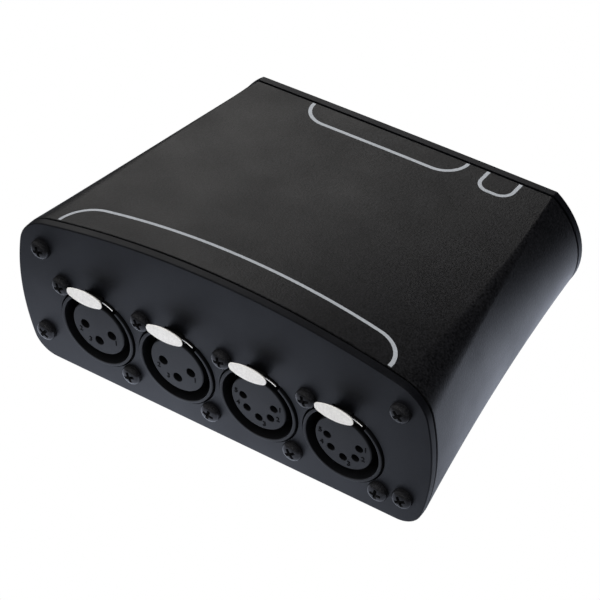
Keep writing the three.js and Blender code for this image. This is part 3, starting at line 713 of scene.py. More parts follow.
# %% Sections of the sleeve and what is cut out of it
SLEEVE_STATIONS = 48
BORE_STATIONS = 16
END_ROUND = 0.3
FOOT_RADIUS = 4.4
FOOT_RECESS = 0.5
FOOT_GAP = 0.2
BOSS_RADIUS = 4.6
BOSS_LENGTH = 14.0
BOSS_BORE = 1.5
BOSS_BORE_DEPTH = 10.0
BOSS_SET_BACK = 0.05
RIB_HALF = 0.8
RIB_FROM = 25.4
RIB_TO = 22.4
CORNERS = range(1, 5)
foot_nodes = [f"foot_{n}" for n in CORNERS]
foot_places = [middle(node)[:2] for node in foot_nodes]
front_corners = [f"front_plate_screw_{n}" for n in CORNERS]
rear_corners = [f"rear_plate_screw_{n}" for n in CORNERS]


def screw_places(nodes):
    """The places of screws as (x, z)."""
    return [middle(node)[::2] for node in nodes]


def sleeve_ring(y, inset):
    return upright(case_outline(section_at(y), inset), y)


def sleeve_stations():
    """Places along the sleeve with their insets: a small quarter round at each end."""
    turn = quarter_round(END_ROUND, (0, 22, 45, 68, 90))
    front = [(SLEEVE_FRONT + depth, inset) for inset, depth in turn]
    rear = [(SLEEVE_REAR - depth, inset) for inset, depth in reversed(turn)]
    first, last = front[-1][0], rear[0][0]
    span = [(first + (last - first) * n / SLEEVE_STATIONS, 0.0) for n in range(1, SLEEVE_STATIONS)]
    return front + span + rear


def foot_pocket(place):
    ring = around(place, FOOT_RADIUS + FOOT_GAP, full_turn(64))
    heights = (CASE_FLOOR - OVERRUN, CASE_FLOOR + FOOT_RECESS)
    return skin("foot_pocket", [[(x, y, z) for x, y in ring] for z in heights])


def boss_bars(radius, from_end, to_end):
    """Bars on the axes of the corner screws, between two depths behind the sleeve's ends."""
    bars = []
    for screws, end, inward in ((front_corners, SLEEVE_FRONT, 1), (rear_corners, SLEEVE_REAR, -1)):
        near, far = sorted((end + inward * from_end, end + inward * to_end))
        for x, z in screw_places(screws):
            bars.append(bar("boss", radius, near, far, x, z, sides=48))
    return bars


def board_ribs():
    pitch = outlet_x[4] - outlet_x[3]
    heights = (CASE_FLOOR + WALL / 2, box_mm("main_board")[0].z)
    span = (FRONT_Y + RIB_FROM, REAR_Y - RIB_TO)
    return [block("rib", RIB_HALF, span, heights, x) for x in (-pitch, pitch)]


# %% Sleeve
def make_sleeve():
    outer = skin("case_sleeve_skin", [sleeve_ring(y, inset) for y, inset in sleeve_stations()])
    span = SLEEVE_REAR - SLEEVE_FRONT
    places = [SLEEVE_FRONT + span * n / BORE_STATIONS for n in range(BORE_STATIONS + 1)]
    places = [SLEEVE_FRONT - OVERRUN, *places, SLEEVE_REAR + OVERRUN]
    inner = skin("case_bore", [sleeve_ring(y, WALL) for y in places])
    inner = cut(inner, *boss_bars(BOSS_RADIUS, BOSS_SET_BACK, BOSS_LENGTH), *board_ribs())
    screw_bores = boss_bars(BOSS_BORE, -OVERRUN, BOSS_BORE_DEPTH)
    return cut(outer, inner, *screw_bores, *map(foot_pocket, foot_places))


sleeve = make_sleeve()
dress(sleeve, "case", "case_paint", case_finish, "case_sleeve")
print("sleeve faces", len(sleeve.data.polygons))

# %% [markdown]
# Both end plates are cut from sheet: an outline with a rounded outer edge, then the holes. Each hole
# that shows has a finely rounded mouth. The mouth is part of the tool that cuts the hole, because a
# bevel put on afterwards would be held back by the shortest edge in the whole plate.

# %% Tools for the end plates
EDGE_ROUND = 0.35
REBATE_DEPTH = 0.3
REBATE_WIDTH = 1.3
PLATE_HOLE = 1.7
RING_RADIUS = 11.1
RING_GAP = 0.4
NECK_HALF = 2.9
NECK_TOP = 11.95
JACK_COLLAR = 4.0
JACK_GAP = 0.3
JACK_RISE = 5.6
MOUTH_ROUND = 0.14
FACING_OUT = 0.95
front_screw_nodes = front_corners + [f"output_{n}_screw_{side}" for n in OUTLETS for side in (1, 2)]
rear_screw_nodes = rear_corners + [f"input_{n}_screw_{side}" for n in INLETS for side in (1, 2)]
JACK_X = middle("power_jack")[0]
JACK_Z = box_mm("power_jack")[0].z + JACK_RISE


def plate_blank(name, section, outer_y, inward):
    """A sheet with a rounded edge at its outer face and a shallow rebate along its inner one."""
    edge = quarter_round(EDGE_ROUND, range(90, -1, -15))
    rebate = PLATE - REBATE_DEPTH
    steps = [*edge, (rebate, 0.0), (rebate, REBATE_WIDTH), (PLATE, REBATE_WIDTH)]
    return skin(name, [
        upright(case_outline(section, inset), outer_y + inward * depth) for depth, inset in steps
    ])


def drill(place, y):
    reach = PLATE + OVERRUN
    return bar("drill", PLATE_HOLE, y - reach, y + reach, *place, sides=40)


def circle(radius):
    return lambda grow: around((0, 0), radius + grow, full_turn(96))


def neck_hole(grow):
    """A ring's hole with the notch for the latch's neck above it, as one outline."""
    radius, half, top = RING_RADIUS + RING_GAP + grow, NECK_HALF + grow, NECK_TOP + grow
    side = math.degrees(math.asin(half / radius))
    ring = round_corner((0, 0), radius, 90 + side, 450 - side, steps=90)
    return [*ring, (half, top), (-half, top)]


def mouthed(outline, place, outer_y, inward):
    """A tool that cuts an outline through a plate and rounds its mouth in the outer face."""
    edge = [(depth, grow) for grow, depth in quarter_round(MOUTH_ROUND, range(0, 91, 30))]
    return skin("hole", [
        [(place[0] + x, outer_y + inward * depth, place[1] + z) for x, z in outline(grow)]
        for depth, grow in [(-OVERRUN, MOUTH_ROUND), *edge, (PLATE + OVERRUN, 0)]
    ])


# %% End plates
def make_plate(name, section, outer_y, inward, screws, holes):
    """A sheet with a drilled hole for each screw, and holes given as (outline, place)."""
    drills = [drill(place, outer_y) for place in screw_places(screws)]
    mouths = [mouthed(outline, place, outer_y, inward) for outline, place in holes]
    return cut(plate_blank(name, section, outer_y, inward), *drills, *mouths)


def refinish(piece, finish, picked):
    """Gives a second finish to the faces that a rule picks."""
    piece.data.materials.append(finish)
    for face in piece.data.polygons:
        if picked(face):
            face.material_index = 1


front_holes = [(neck_hole, (x, AXIS_Z)) for x in outlet_x.values()]
rear_holes = [(circle(RING_RADIUS + RING_GAP), (x, AXIS_Z)) for x in inlet_x.values()]
rear_holes.append((circle(JACK_COLLAR + JACK_GAP), (JACK_X, JACK_Z)))
front_plate = make_plate(
    "front_plate_sheet", FRONT_SECTION, FRONT_Y, 1, front_screw_nodes, front_holes,
)
rear_plate = make_plate("rear_plate_sheet", REAR_SECTION, REAR_Y, -1, rear_screw_nodes, rear_holes)
dress(front_plate, "case", "plate_paint", plate_finish, "front_plate")
# The faces that don't look out of the plate get the weaker reflection: painted shade that keeps the
# rim dark.
refinish(front_plate, plate_rim_painted_shade, lambda face: abs(face.normal.y) < FACING_OUT)
dress(rear_plate, "case", "plate_paint", plate_finish, "rear_plate")
print("plate faces", len(front_plate.data.polygons), len(rear_plate.data.polygons))

# %% [markdown]
# A screw repeats twenty times and a foot four times, and this is work for Geometry Nodes. One tree
# puts a copy of any piece on every point of a cloud, spins each about its own axis by a seeded
# random angle, makes the copies real and gives them their finish. The piece, its turn, the spin, the
# seed and the finish go in through named inputs. The result is turned into a plain mesh and the
# modifier goes.

# %% One tree for repeated pieces
SCATTER_INPUTS = {
    "Points": "NodeSocketGeometry",
    "Piece": "NodeSocketObject",
    "Turn": "NodeSocketVector",
    "Spin": "NodeSocketFloat",
    "Seed": "NodeSocketInt",
    "Finish": "NodeSocketMaterial",
}


def make_scatter_tree():
    tree = bpy.data.node_groups.new("copies_on_points", "GeometryNodeTree")
    for name, kind in SCATTER_INPUTS.items():
        tree.interface.new_socket(name, in_out="INPUT", socket_type=kind)
    tree.interface.new_socket("Copies", in_out="OUTPUT", socket_type="NodeSocketGeometry")
    given = add_node(tree, "NodeGroupInput").outputs
    info = add_node(
        tree, "GeometryNodeObjectInfo", {"Object": given["Piece"]}, transform_space="ORIGINAL",
    )
    copies = add_node(tree, "GeometryNodeInstanceOnPoints", {
        "Points": given["Points"], "Instance": info.outputs["Geometry"], "Rotation": given["Turn"],
    })
    chance = add_node(
        tree, "FunctionNodeRandomValue", {3: given["Spin"], "Seed": given["Seed"]},
        data_type="FLOAT",
    )
    about = add_node(tree, "ShaderNodeCombineXYZ", {"Y": chance.outputs[1]})
    spin = add_node(tree, "GeometryNodeRotateInstances", {
        "Instances": copies.outputs["Instances"], "Rotation": about.outputs["Vector"],
    })
    real = add_node(tree, "GeometryNodeRealizeInstances", {"Geometry": spin.outputs["Instances"]})
    painted = add_node(tree, "GeometryNodeSetMaterial", {
        "Geometry": real.outputs["Geometry"], "Material": given["Finish"],
    })
    add_node(tree, "NodeGroupOutput", {"Copies": painted.outputs["Geometry"]})
    return tree


# %% Copies on points
scatter_tree = make_scatter_tree()
scatter_socket = {
    item.name: item.identifier
    for item in scatter_tree.interface.items_tree
    if item.in_out == "INPUT"
}


def copies_on_points(name, model, places, finish, **inputs):
    """Copies of a model at places in millimetres, as one plain mesh."""
    cloud = bpy.data.meshes.new(name)
    cloud.from_pydata([Vector(place) * MM for place in places], [], [])
    piece = add_object(name, cloud)
    modifier = piece.modifiers.new("copies", "NODES")
    modifier.node_group = scatter_tree
    for key, value in {"Piece": model, "Finish": finish, **inputs}.items():
        modifier[scatter_socket[key]] = value
    bake(piece)
    return piece


print("inputs of the tree", ", ".join(scatter_socket))

# %% [markdown]
# The screws are black pan heads with a cross recess. The head is turned, and two tapered bars that
# cross each other cut the recess. Nobody lines up the slots in a real box, so each copy is spun by
# its own angle.

# %% Screws
HEAD_RADIUS = 2.75
HEAD_HEIGHT = 1.95
HEAD_RIM = 0.55
HEAD_EDGE = 0.08
HEAD_FULLNESS = 0.78
HEAD_STEPS = 14
SHANK_RADIUS = 1.35
SCREW_LENGTH = 8.0
TIP_LENGTH = 0.8
TIP_RADIUS = 0.2
RECESS_MOUTH = (1.96, 0.5)
RECESS_FLOOR = (0.6125, 0.24)
RECESS_LEVEL = -0.7
RECESS_OVER = 0.3
SCREW_SETS = {
    "front_screws": (front_screw_nodes, FRONT_Y, 0.0, 4),
    "rear_screws": (rear_screw_nodes, REAR_Y, math.pi, 9),
}


def recess_arm(across):
    """One of the two crossed bars that cut the recess, wider at the mouth than at the floor."""
    rings = []
    levels = ((-HEAD_HEIGHT - RECESS_OVER, RECESS_MOUTH), (RECESS_LEVEL, RECESS_FLOOR))
    for y, (long, wide) in levels:
        corners = [(-long, -wide), (long, -wide), (long, wide), (-long, wide)]
        rings.append([(b, y, a) if across else (a, y, b) for a, b in corners])
    return skin("recess_arm", rings)


def make_screw():
    dome = HEAD_HEIGHT - HEAD_RIM
    head = [
        (HEAD_RADIUS * math.sin(a) ** HEAD_FULLNESS, -HEAD_RIM - dome * math.cos(a) ** HEAD_FULLNESS)
        for a in (math.pi / 2 * step / HEAD_STEPS for step in range(1, HEAD_STEPS))
    ]
    screw = turned("screw_model", [
        *head,
        (HEAD_RADIUS, -HEAD_RIM),
        (HEAD_RADIUS, -HEAD_EDGE),
        (HEAD_RADIUS - HEAD_EDGE, 0.0),
        (SHANK_RADIUS, 0.0),
        (SHANK_RADIUS, SCREW_LENGTH - TIP_LENGTH),
        (TIP_RADIUS, SCREW_LENGTH),
    ], sides=48)
    return cut(screw, join(recess_arm(False), recess_arm(True)))


screw_model = make_screw()
for name, (nodes, y, turn, seed) in SCREW_SETS.items():
    screws = copies_on_points(
        name, screw_model, [(x, y, z) for x, z in screw_places(nodes)], screw_finish,
        Turn=(0, 0, turn), Spin=2 * math.pi, Seed=seed,
    )
    dress(screws, "case", "black_screw", screw_finish, *nodes)
    print(name, len(nodes), "faces", len(screws.data.polygons))
discard(screw_model)

# %% [markdown]
# Each rubber foot is a short disc with a rounded rim, pressed into a shallow recess in the floor of
# the case. The same tree copies it.

# %% Feet
FOOT_ROUND = 0.5
FOOT_HUB = 0.2


def make_foot():
    height = CASE_FLOOR + FOOT_RECESS
    foot = drum("foot_model", FOOT_RADIUS, 0.0, FOOT_ROUND, height, sides=64, hub=FOOT_HUB)
    foot.data.transform(Matrix.Rotation(math.pi / 2, 4, "X"))
    return foot


foot_model = make_foot()
feet = copies_on_points(
    "rubber_feet", foot_model, [(x, y, 0) for x, y in foot_places], rubber_finish,
)
discard(foot_model)
dress(feet, "case", "rubber", rubber_finish, *foot_nodes)
print("feet faces", len(feet.data.polygons))

# %% [markdown]
# A female output is a deep round well with a moulded core in it. The ring of the well stands just
# proud of the plate, and its lip is rounded on both sides, which draws the thin bright circle that
# the eye picks out. The shell is one block with the well, the latch channel and the tail channel
# cut out of it. Each connector is made once around its own axis and then copied to its place.

# %% Parts of a connector shell
SHELL_HALF = 11.9
SHELL_SHOULDER = 12.6
SHELL_CROWN = 8.0
SHELL_FLOOR = -12.0
SCREW_DIAGONAL = 10.1
SCREW_WELL = 1.5
SCREW_WELL_DEPTH = 10.0
RING_PROUD = 0.6
LIP = 0.25
OUTLET_BORE = 10.2
OUTLET_BORE_DEPTH = 14.5
OUTLET_DEPTH = 23.4
OUTLET_TOP = 18.0
CORE_BORE = 8.15
CORE_BORE_FROM = 10.0
INSERT_DEPTH = 19.2
CHANNEL_HALF = 3.91
CHANNEL_REAR = 14.5
CHANNEL_FLOOR = 8.4
TAIL_CHANNEL_HALF = 6.4
TAIL_CHANNEL_TOP = 3.5
RING_OPENING = math.radians(36)
PIVOT_Y = 4.6
PIVOT_Z = 15.2
SEAT_RADIUS = 1.12
SEAT_HALF = 5.75


def shell_blank(name, top, depth):
    body = pushed(name, [
        (-SHELL_HALF, SHELL_FLOOR), (SHELL_HALF, SHELL_FLOOR), (SHELL_HALF, SHELL_SHOULDER),
        (SHELL_CROWN, top), (-SHELL_CROWN, top), (-SHELL_HALF, SHELL_SHOULDER),
    ], PLATE, depth)
    return join(body, drum("ring", RING_RADIUS, -RING_PROUD, LIP, PLATE + OVERRUN))


def screw_wells():
    front, rear = PLATE - OVERRUN, SCREW_WELL_DEPTH
    places = [(-SCREW_DIAGONAL, SCREW_DIAGONAL), (SCREW_DIAGONAL, -SCREW_DIAGONAL)]
    return [bar("screw_well", SCREW_WELL, front, rear, x, z, sides=32) for x, z in places]


def tail_channel(front, rear):
    heights = (SHELL_FLOOR - OVERRUN, TAIL_CHANNEL_TOP)
    return block("tail_channel", TAIL_CHANNEL_HALF, (front, rear), heights)


# %% Output shells
def make_outlet_shell():
    above = OUTLET_TOP + OVERRUN
    reach = RING_RADIUS + OVERRUN
    edge = reach * math.tan(RING_OPENING)
    opening = pushed(
        "ring_opening", [(0, 0), (edge, reach), (-edge, reach)], -RING_PROUD - OVERRUN, PLATE,
    )
    channel = block(
        "latch_channel", CHANNEL_HALF, (PLATE - OVERRUN, CHANNEL_REAR), (CHANNEL_FLOOR, above),
    )
    seat = axle("trunnion_seat", SEAT_RADIUS, SEAT_HALF, PIVOT_Y, PIVOT_Z)
    throat = block(
        "trunnion_throat", SEAT_HALF, (PIVOT_Y - SEAT_RADIUS, PIVOT_Y + SEAT_RADIUS),
        (PIVOT_Z, above),
    )
    return cut(
        shell_blank("outlet_shell", OUTLET_TOP, OUTLET_DEPTH),
        bore("well", OUTLET_BORE, -RING_PROUD, LIP, OUTLET_BORE_DEPTH),
        bar("core_bore", CORE_BORE, CORE_BORE_FROM, INSERT_DEPTH + OVERRUN),
        opening, channel, seat, throat,
        tail_channel(INSERT_DEPTH, OUTLET_DEPTH + OVERRUN), *screw_wells(),
    )


def facing_front(x):
    """Puts a piece made around its own axis at the front plate, looking out of it."""
    return Matrix.Translation((x, FRONT_Y, AXIS_Z))


def placed(model, name, matrix):
    """A copy of a model made around its own axis, with its place in its mesh."""
    mesh = model.data.copy()
    mesh.transform(Matrix.Scale(1 / MM, 4))
    mesh.transform(matrix)
    mesh.transform(Matrix.Scale(MM, 4))
    return add_object(name, mesh)


outlet_shell = make_outlet_shell()
for number in OUTLETS:
    piece = placed(outlet_shell, f"outlet_{number}_housing", facing_front(outlet_x[number]))
    dress(piece, "case", "connector_black", connector_finish, f"output_{number}_shell")
print("outlet shell faces", len(outlet_shell.data.polygons))
discard(outlet_shell)

# %% [markdown]
# The core of a female output is a moulded drum with a hole for each pin of the plug. Three-pole
# cores have their holes in a triangle, five-pole ones along an arc. Each hole has a small
# countersink, which steers the pin in, and a plated socket deep inside. The solder tails run back
# from the core and turn down through the board.

# %% Contacts and their tails
CONTACT_ROW = 4.17
CONTACT_ROW_RISE = -0.2
CONTACT_LOW = 3.9
CONTACT_CIRCLE = 4.53
CONTACT_STEP = math.radians(49.3)
TAIL_HALF = 0.4
TAIL_ROOT = 0.4
TAIL_RUN = 0.8
TAIL_STAGGER = 1.3
TAIL_END = -14.4


def contact_places(count):
    if count == 3:
        return [(CONTACT_ROW, CONTACT_ROW_RISE), (-CONTACT_ROW, CONTACT_ROW_RISE), (0, -CONTACT_LOW)]
    turns = [step * CONTACT_STEP for step in (2, 1, 0, -1, -2)]
    return [(CONTACT_CIRCLE * math.sin(a), -CONTACT_CIRCLE * math.cos(a)) for a in turns]


def contact_tails(count, rear):
    tails = []
    for index, (x, z) in enumerate(contact_places(count)):
        middle_y = rear + TAIL_RUN + (TAIL_STAGGER if count == 5 and index % 2 else 0)
        root, before, behind = rear - TAIL_ROOT, middle_y - TAIL_HALF, middle_y + TAIL_HALF
        under, over = z - TAIL_HALF, z + TAIL_HALF
        bent = [
            (root, under), (before, under), (before, TAIL_END),
            (behind, TAIL_END), (behind, over), (root, over),
        ]
        sides = (x - TAIL_HALF, x + TAIL_HALF)
        tails.append(skin("tail", [[(across, y, up) for y, up in bent] for across in sides]))
    return tails


# %% Contact cores
CONTACT_HOLE = {3: 1.32, 5: 1.08}
CONTACT_SINK = 0.1
CONTACT_DEPTH = 11.0
CORE_ROUND = 0.45
SOCKET_WALL = 0.2
SOCKET_GAP = 0.05
SOCKET_FROM = 3.0
SOCKET_TO = CONTACT_DEPTH - 0.1
SOCKET_FLOOR = 0.9
outlet_contacts = {1: 3, 2: 3, 3: 5, 4: 5}


def make_core(count):
    core = drum("core", INSERT_RADIUS, 0.0, CORE_ROUND, INSERT_DEPTH)
    core = join(core, *contact_tails(count, INSERT_DEPTH))
    hole = CONTACT_HOLE[count]
    profile = [(hole + OVERRUN, CONTACT_SINK - OVERRUN), (hole, CONTACT_SINK), (hole, CONTACT_DEPTH)]
    places = contact_places(count)
    return cut(core, *[turned("contact_hole", profile, x, z, sides=40) for x, z in places])


def make_sockets(count):
    """The plated sockets that the pins of a plug slide into."""
    outside = CONTACT_HOLE[count] - SOCKET_GAP
    inside = outside - SOCKET_WALL
    bored_from, bored_to = SOCKET_FROM - OVERRUN, SOCKET_TO - SOCKET_FLOOR
    return join(*[
        cut(bar("socket", outside, SOCKET_FROM, SOCKET_TO, x, z, sides=32),
            bar("socket_bore", inside, bored_from, bored_to, x, z, sides=32))
        for x, z in contact_places(count)
    ])


cores = {count: make_core(count) for count in (3, 5)}
sockets = {count: make_sockets(count) for count in (3, 5)}
for number in OUTLETS:
    count, place = outlet_contacts[number], facing_front(outlet_x[number])
    piece = placed(cores[count], f"outlet_{number}_core", place)
    dress(piece, "case", "connector_black", connector_finish, f"output_{number}_insert")
    piece = placed(sockets[count], f"outlet_{number}_sockets", place)
    dress(piece, "case", "spring_steel", steel_finish)
print("core faces", {count: len(core.data.polygons) for count, core in cores.items()})
discard(*cores.values(), *sockets.values())

# %% [markdown]
# Beside each hole the mould leaves a small raised numeral, the contact's number. Text is made with
# Blender's own font, given a little thickness, turned to face the front and made a mesh. The numerals
# are the core's own plastic, but they get a darker, duller finish: painted shade that makes them
# stand out.

# %% Contact numerals
NUMERAL_HEIGHT = 2.1
NUMERAL_RISE = 0.09
NUMERAL_SPREAD = 0.03
NUMERAL_PLACES = {
    3: {"1": (5.4, -2.2), "2": (-5.6, -2.5), "3": (-2.8, -4.8)},
    5: {"1": (6.25, 1.2), "2": (5.6, -2.3), "3": (1.6, -6.0), "4": (-6.0, -2.5), "5": (-6.45, 1.25)},
}


def make_numeral(text, x, z):
    curve = bpy.data.curves.new("numeral", "FONT")
    curve.body = text
    curve.size = NUMERAL_HEIGHT * MM
    curve.extrude = NUMERAL_RISE * MM
    curve.offset = NUMERAL_SPREAD * MM
    curve.align_x = "CENTER"
    curve.align_y = "CENTER"
    letter = add_object("numeral", curve)
    mesh = plain_mesh(letter)
    stand = Matrix.Rotation(math.pi / 2, 4, "X")
    mesh.transform(Matrix.Translation(Vector((x, 0, z)) * MM) @ stand)
    discard(letter)
    return mesh


def make_numerals(count):
    work = bmesh.new()
    for text, place in NUMERAL_PLACES[count].items():
        work.from_mesh(make_numeral(text, *place))
    result = bpy.data.meshes.new("numerals")
    work.to_mesh(result)
    work.free()
    weld(result, outwards=True)
    return add_object("numerals", result)


numerals = {count: make_numerals(count) for count in (3, 5)}
for number in OUTLETS:
    model = numerals[outlet_contacts[number]]
    piece = placed(model, f"outlet_{number}_numerals", facing_front(outlet_x[number]))
    # The numerals get the darker painted shade.
    dress(piece, "case", "connector_black", numeral_painted_shade)
print("numeral faces", {count: len(model.data.polygons) for count, model in numerals.items()})
discard(*numerals.values())

# %% [markdown]
# The silver latch is the one kind of part that moves. A leaf-shaped thumb tab stands in front of
# the plate, a neck carries it through a notch, a thin saddle closes the gap in the ring, and behind
# the plate an arm with a hook hangs on a trunnion. All of it is one casting, so the parts are joined
# by a boolean. Arm and saddle get their rounded edges first, while each is still a plain shape. Only
# the faces that look forward shine like the tab. The rest of the lever is the same silver metal, but
# it gets a near-black finish: painted shade, since in the photograph it is as dark as the plate
# behind it.

# %% Thumb tab
TAB_WIDTH = 10.8
TAB_HEIGHT = 4.6
TAB_TIP = 1.5
TAB_ROUND = 0.15
TAB_TAPER = 0.7
TAB_BACK = -3.3
TAB_FRONT = -4.2
TAB_RISE = 0.9
NECK_UNDER = 10.4


def leaf_outline(inset):
    """A lens of two arcs with rounded ends."""
    rise = TAB_HEIGHT / 2 - inset
    tip = TAB_TIP - inset
    reach = TAB_WIDTH / 2 - TAB_TIP
    radius = (reach**2 + rise**2 - tip**2) / (2 * (rise - tip))
    face = (0.0, rise - radius)
    meet = heading(face, (reach, 0.0))
    quarter = [
        *arc_points((reach, 0.0), tip, 0, meet, steps=5),
        *arc_points(face, radius, meet, math.pi / 2, steps=12),
    ]
    half = [*quarter, (0.0, rise), *[(-x, z) for x, z in reversed(quarter[1:])]]
    middle_z = NECK_UNDER + TAB_RISE + TAB_HEIGHT / 2
    return [(x, z + middle_z) for x, z in half + [(-x, -z) for x, z in half]]


def make_tab():
    turn = quarter_round(TAB_ROUND, range(0, 91, 18))
    rings = [upright(leaf_outline(inset), TAB_FRONT + depth) for inset, depth in turn]
    return skin("latch", [*rings, upright(leaf_outline(TAB_TAPER), TAB_BACK)])


# %% Neck, arm, hook and saddle
ROOT_THICK = 0.45
NECK_THICK = 1.2
NECK_RAMP = 0.6
ARM_THICK = 1.6
ARM_REAR = 12.6
LATCH_HALF = 2.55
HOOK_FRONT = 9.6
HOOK_REAR = 11.6
HOOK_DROP = 1.4
BARREL_RADIUS = 1.9
SADDLE_RADIUS = 11.1
SADDLE_THICK = 0.4
SADDLE_ANGLE = 31
SADDLE_FRONT = -0.5
SADDLE_REAR = 1.2


def make_arm():
    """The root behind the tab, the neck, the arm and its hook, as one outline of (y, z)."""
    neck_top, arm_top = NECK_UNDER + NECK_THICK, NECK_UNDER + ARM_THICK
    hook_low = NECK_UNDER - HOOK_DROP
    tab_under = NECK_UNDER + TAB_RISE
    root_front, root_rear = TAB_BACK - ROOT_THICK, TAB_BACK + NECK_THICK / 2
    root_top = tab_under + TAB_HEIGHT / 2
    web_front = PIVOT_Y - BARREL_RADIUS
    return pushed_across("arm", [
        (root_front, root_top), (root_front, tab_under + TAB_RISE), (TAB_BACK, tab_under),
        (TAB_BACK + TAB_RISE, NECK_UNDER), (HOOK_FRONT - HOOK_DROP, NECK_UNDER),
        (HOOK_FRONT, hook_low), (HOOK_REAR, hook_low), (HOOK_REAR, NECK_UNDER),
        (ARM_REAR, NECK_UNDER), (ARM_REAR, arm_top), (web_front, arm_top),
        (web_front - NECK_RAMP, neck_top), (TAB_BACK + NECK_THICK, neck_top),
        (root_rear, neck_top + NECK_THICK / 2), (root_rear, root_top),
    ], LATCH_HALF)


def make_saddle():
    low, high = 90 - SADDLE_ANGLE, 90 + SADDLE_ANGLE
    return pushed("saddle", [
        *round_corner((0, 0), SADDLE_RADIUS, low, high, steps=24),
        *round_corner((0, 0), SADDLE_RADIUS - SADDLE_THICK, high, low, steps=24),
    ], SADDLE_FRONT, SADDLE_REAR)


# %% Latch levers
BARREL_HALF = 1.0
TRUNNION_RADIUS = 1.0
TRUNNION_HALF = 5.4
LATCH_EDGE = 0.09
BEHIND_TAB = FRONT_Y + TAB_BACK + 0.1
FACING_FRONT = -0.5


def make_latch():
    web = block(
        "web", BARREL_HALF, (PIVOT_Y - BARREL_RADIUS, PIVOT_Y + BARREL_RADIUS),
        (NECK_UNDER + ARM_THICK / 2, PIVOT_Z),
    )
    barrel = axle("barrel", BARREL_RADIUS, BARREL_HALF, PIVOT_Y, PIVOT_Z)
    trunnion = axle("trunnion", TRUNNION_RADIUS, TRUNNION_HALF, PIVOT_Y, PIVOT_Z)
    arm, saddle = soften(make_arm(), LATCH_EDGE), soften(make_saddle(), LATCH_EDGE)
    return join(make_tab(), arm, web, barrel, trunnion, saddle)


def in_painted_shade(face):
    """True for a face of the lever behind its tab that doesn't look forward, which gets the painted
    shade.
    """
    return face.center.y > BEHIND_TAB * MM and face.normal.y > FACING_FRONT


latch_model = make_latch()
for number in OUTLETS:
    piece = placed(latch_model, f"outlet_{number}_lever", facing_front(outlet_x[number]))
    dress(piece, f"latch_{number}", "latch_silver", latch_finish, f"output_{number}_latch")
    # The faces behind the tab get the near-black painted shade.
    refinish(piece, lever_painted_shade, in_painted_shade)
print("latch faces", len(latch_model.data.polygons))
discard(latch_model)

# %% [markdown]
# The inputs at the rear are male: an open cup with a key slot at its top and pins standing in it.
# They are out of the photograph's sight, but a box like this always has them, and the rear will be
# seen as the part is turned.

# %% Parts of an input
INLET_BORE = 8.2
INLET_DEPTH = 20.4
INLET_TOP = 14.0
INLET_EDGE = 0.1
CUP_DEPTH = 13.6
KEY_HALF = 1.7
KEY_RISE = 1.1
CARRIER = 3.4
CARRIER_GAP = 0.2
CARRIER_REAR = CUP_DEPTH + CARRIER
PIN_RADIUS = {3: 1.2, 5: 1.0}
PIN_HUB = 0.1
PIN_NOSE = 0.7
PIN_RECESS = 1.4
PIN_REAR = CUP_DEPTH + 0.3
inlet_contacts = {1: 5, 2: 3}


def make_inlet_shell():
    front = -RING_PROUD - OVERRUN
    shell = cut(
        shell_blank("inlet_shell", INLET_TOP, INLET_DEPTH),
        bore("well", INLET_BORE, -RING_PROUD, LIP, CARRIER_REAR),
        block("key", KEY_HALF, (front, CUP_DEPTH), (0, INLET_BORE + KEY_RISE)),
        tail_channel(CARRIER_REAR - OVERRUN, INLET_DEPTH + OVERRUN), *screw_wells(),
    )
    return soften(shell, INLET_EDGE)


def make_carrier(count):
    carrier = bar("carrier", INLET_BORE - CARRIER_GAP, CUP_DEPTH, CARRIER_REAR)
    return join(carrier, *contact_tails(count, CARRIER_REAR))


def make_pin(radius, front, nose, rear, x=0, z=0):
    """A round pin along Y with a rounded nose."""
    profile = [(PIN_HUB, front), *rim(radius, front, nose), (radius, rear)]
    return turned("pin", profile, x, z, sides=40)


def make_pins(count):
    radius = PIN_RADIUS[count]
    return join(*[
        make_pin(radius, PIN_RECESS, PIN_NOSE, PIN_REAR, x, z) for x, z in contact_places(count)
    ])


# %% Inputs
def facing_rear(x, z=AXIS_Z):
    """Puts a piece at the rear plate, turned right round to look out of it."""
    return Matrix.Translation((x, REAR_Y, z)) @ Matrix.Rotation(math.pi, 4, "Z")


inlet_shell = make_inlet_shell()
for number in INLETS:
    count, place = inlet_contacts[number], facing_rear(inlet_x[number])
    piece = placed(inlet_shell, f"inlet_{number}_housing", place)
    dress(piece, "case", "connector_black", connector_finish, f"input_{number}_shell")
    carrier, pins = make_carrier(count), make_pins(count)
    piece = placed(carrier, f"inlet_{number}_carrier", place)
    dress(piece, "case", "connector_black", connector_finish, f"input_{number}_pins")
    piece = placed(pins, f"inlet_{number}_contacts", place)
    dress(piece, "case", "spring_steel", steel_finish)
    discard(carrier, pins)
print("inlet shell faces", len(inlet_shell.data.polygons))
discard(inlet_shell)

# %% [markdown]
# The power jack is a barrel socket: a collar in the plate with a pin in its middle.

# %% Power jack
JACK_HALF = 4.5
JACK_HEIGHT = 11
JACK_DEPTH = 14.5
JACK_FACE = 0.3
JACK_LIP = 0.3
JACK_BORE = 3.15
JACK_MOUTH = 0.35
JACK_BORE_DEPTH = 10.5
JACK_EDGE = 0.1
JACK_PIN = {"radius": 1.05, "front": 1.2, "nose": 0.4, "rear": 11.0}


def make_jack():
    heights = (-JACK_RISE, JACK_HEIGHT - JACK_RISE)
    body = block("jack", JACK_HALF, (PLATE + SEAM, JACK_DEPTH), heights)
    collar = drum("collar", JACK_COLLAR, JACK_FACE, JACK_LIP, PLATE + OVERRUN, steps=5)
    hole = bore("jack_bore", JACK_BORE, JACK_FACE, JACK_MOUTH, JACK_BORE_DEPTH, steps=5)
    return soften(cut(join(body, collar), hole), JACK_EDGE)


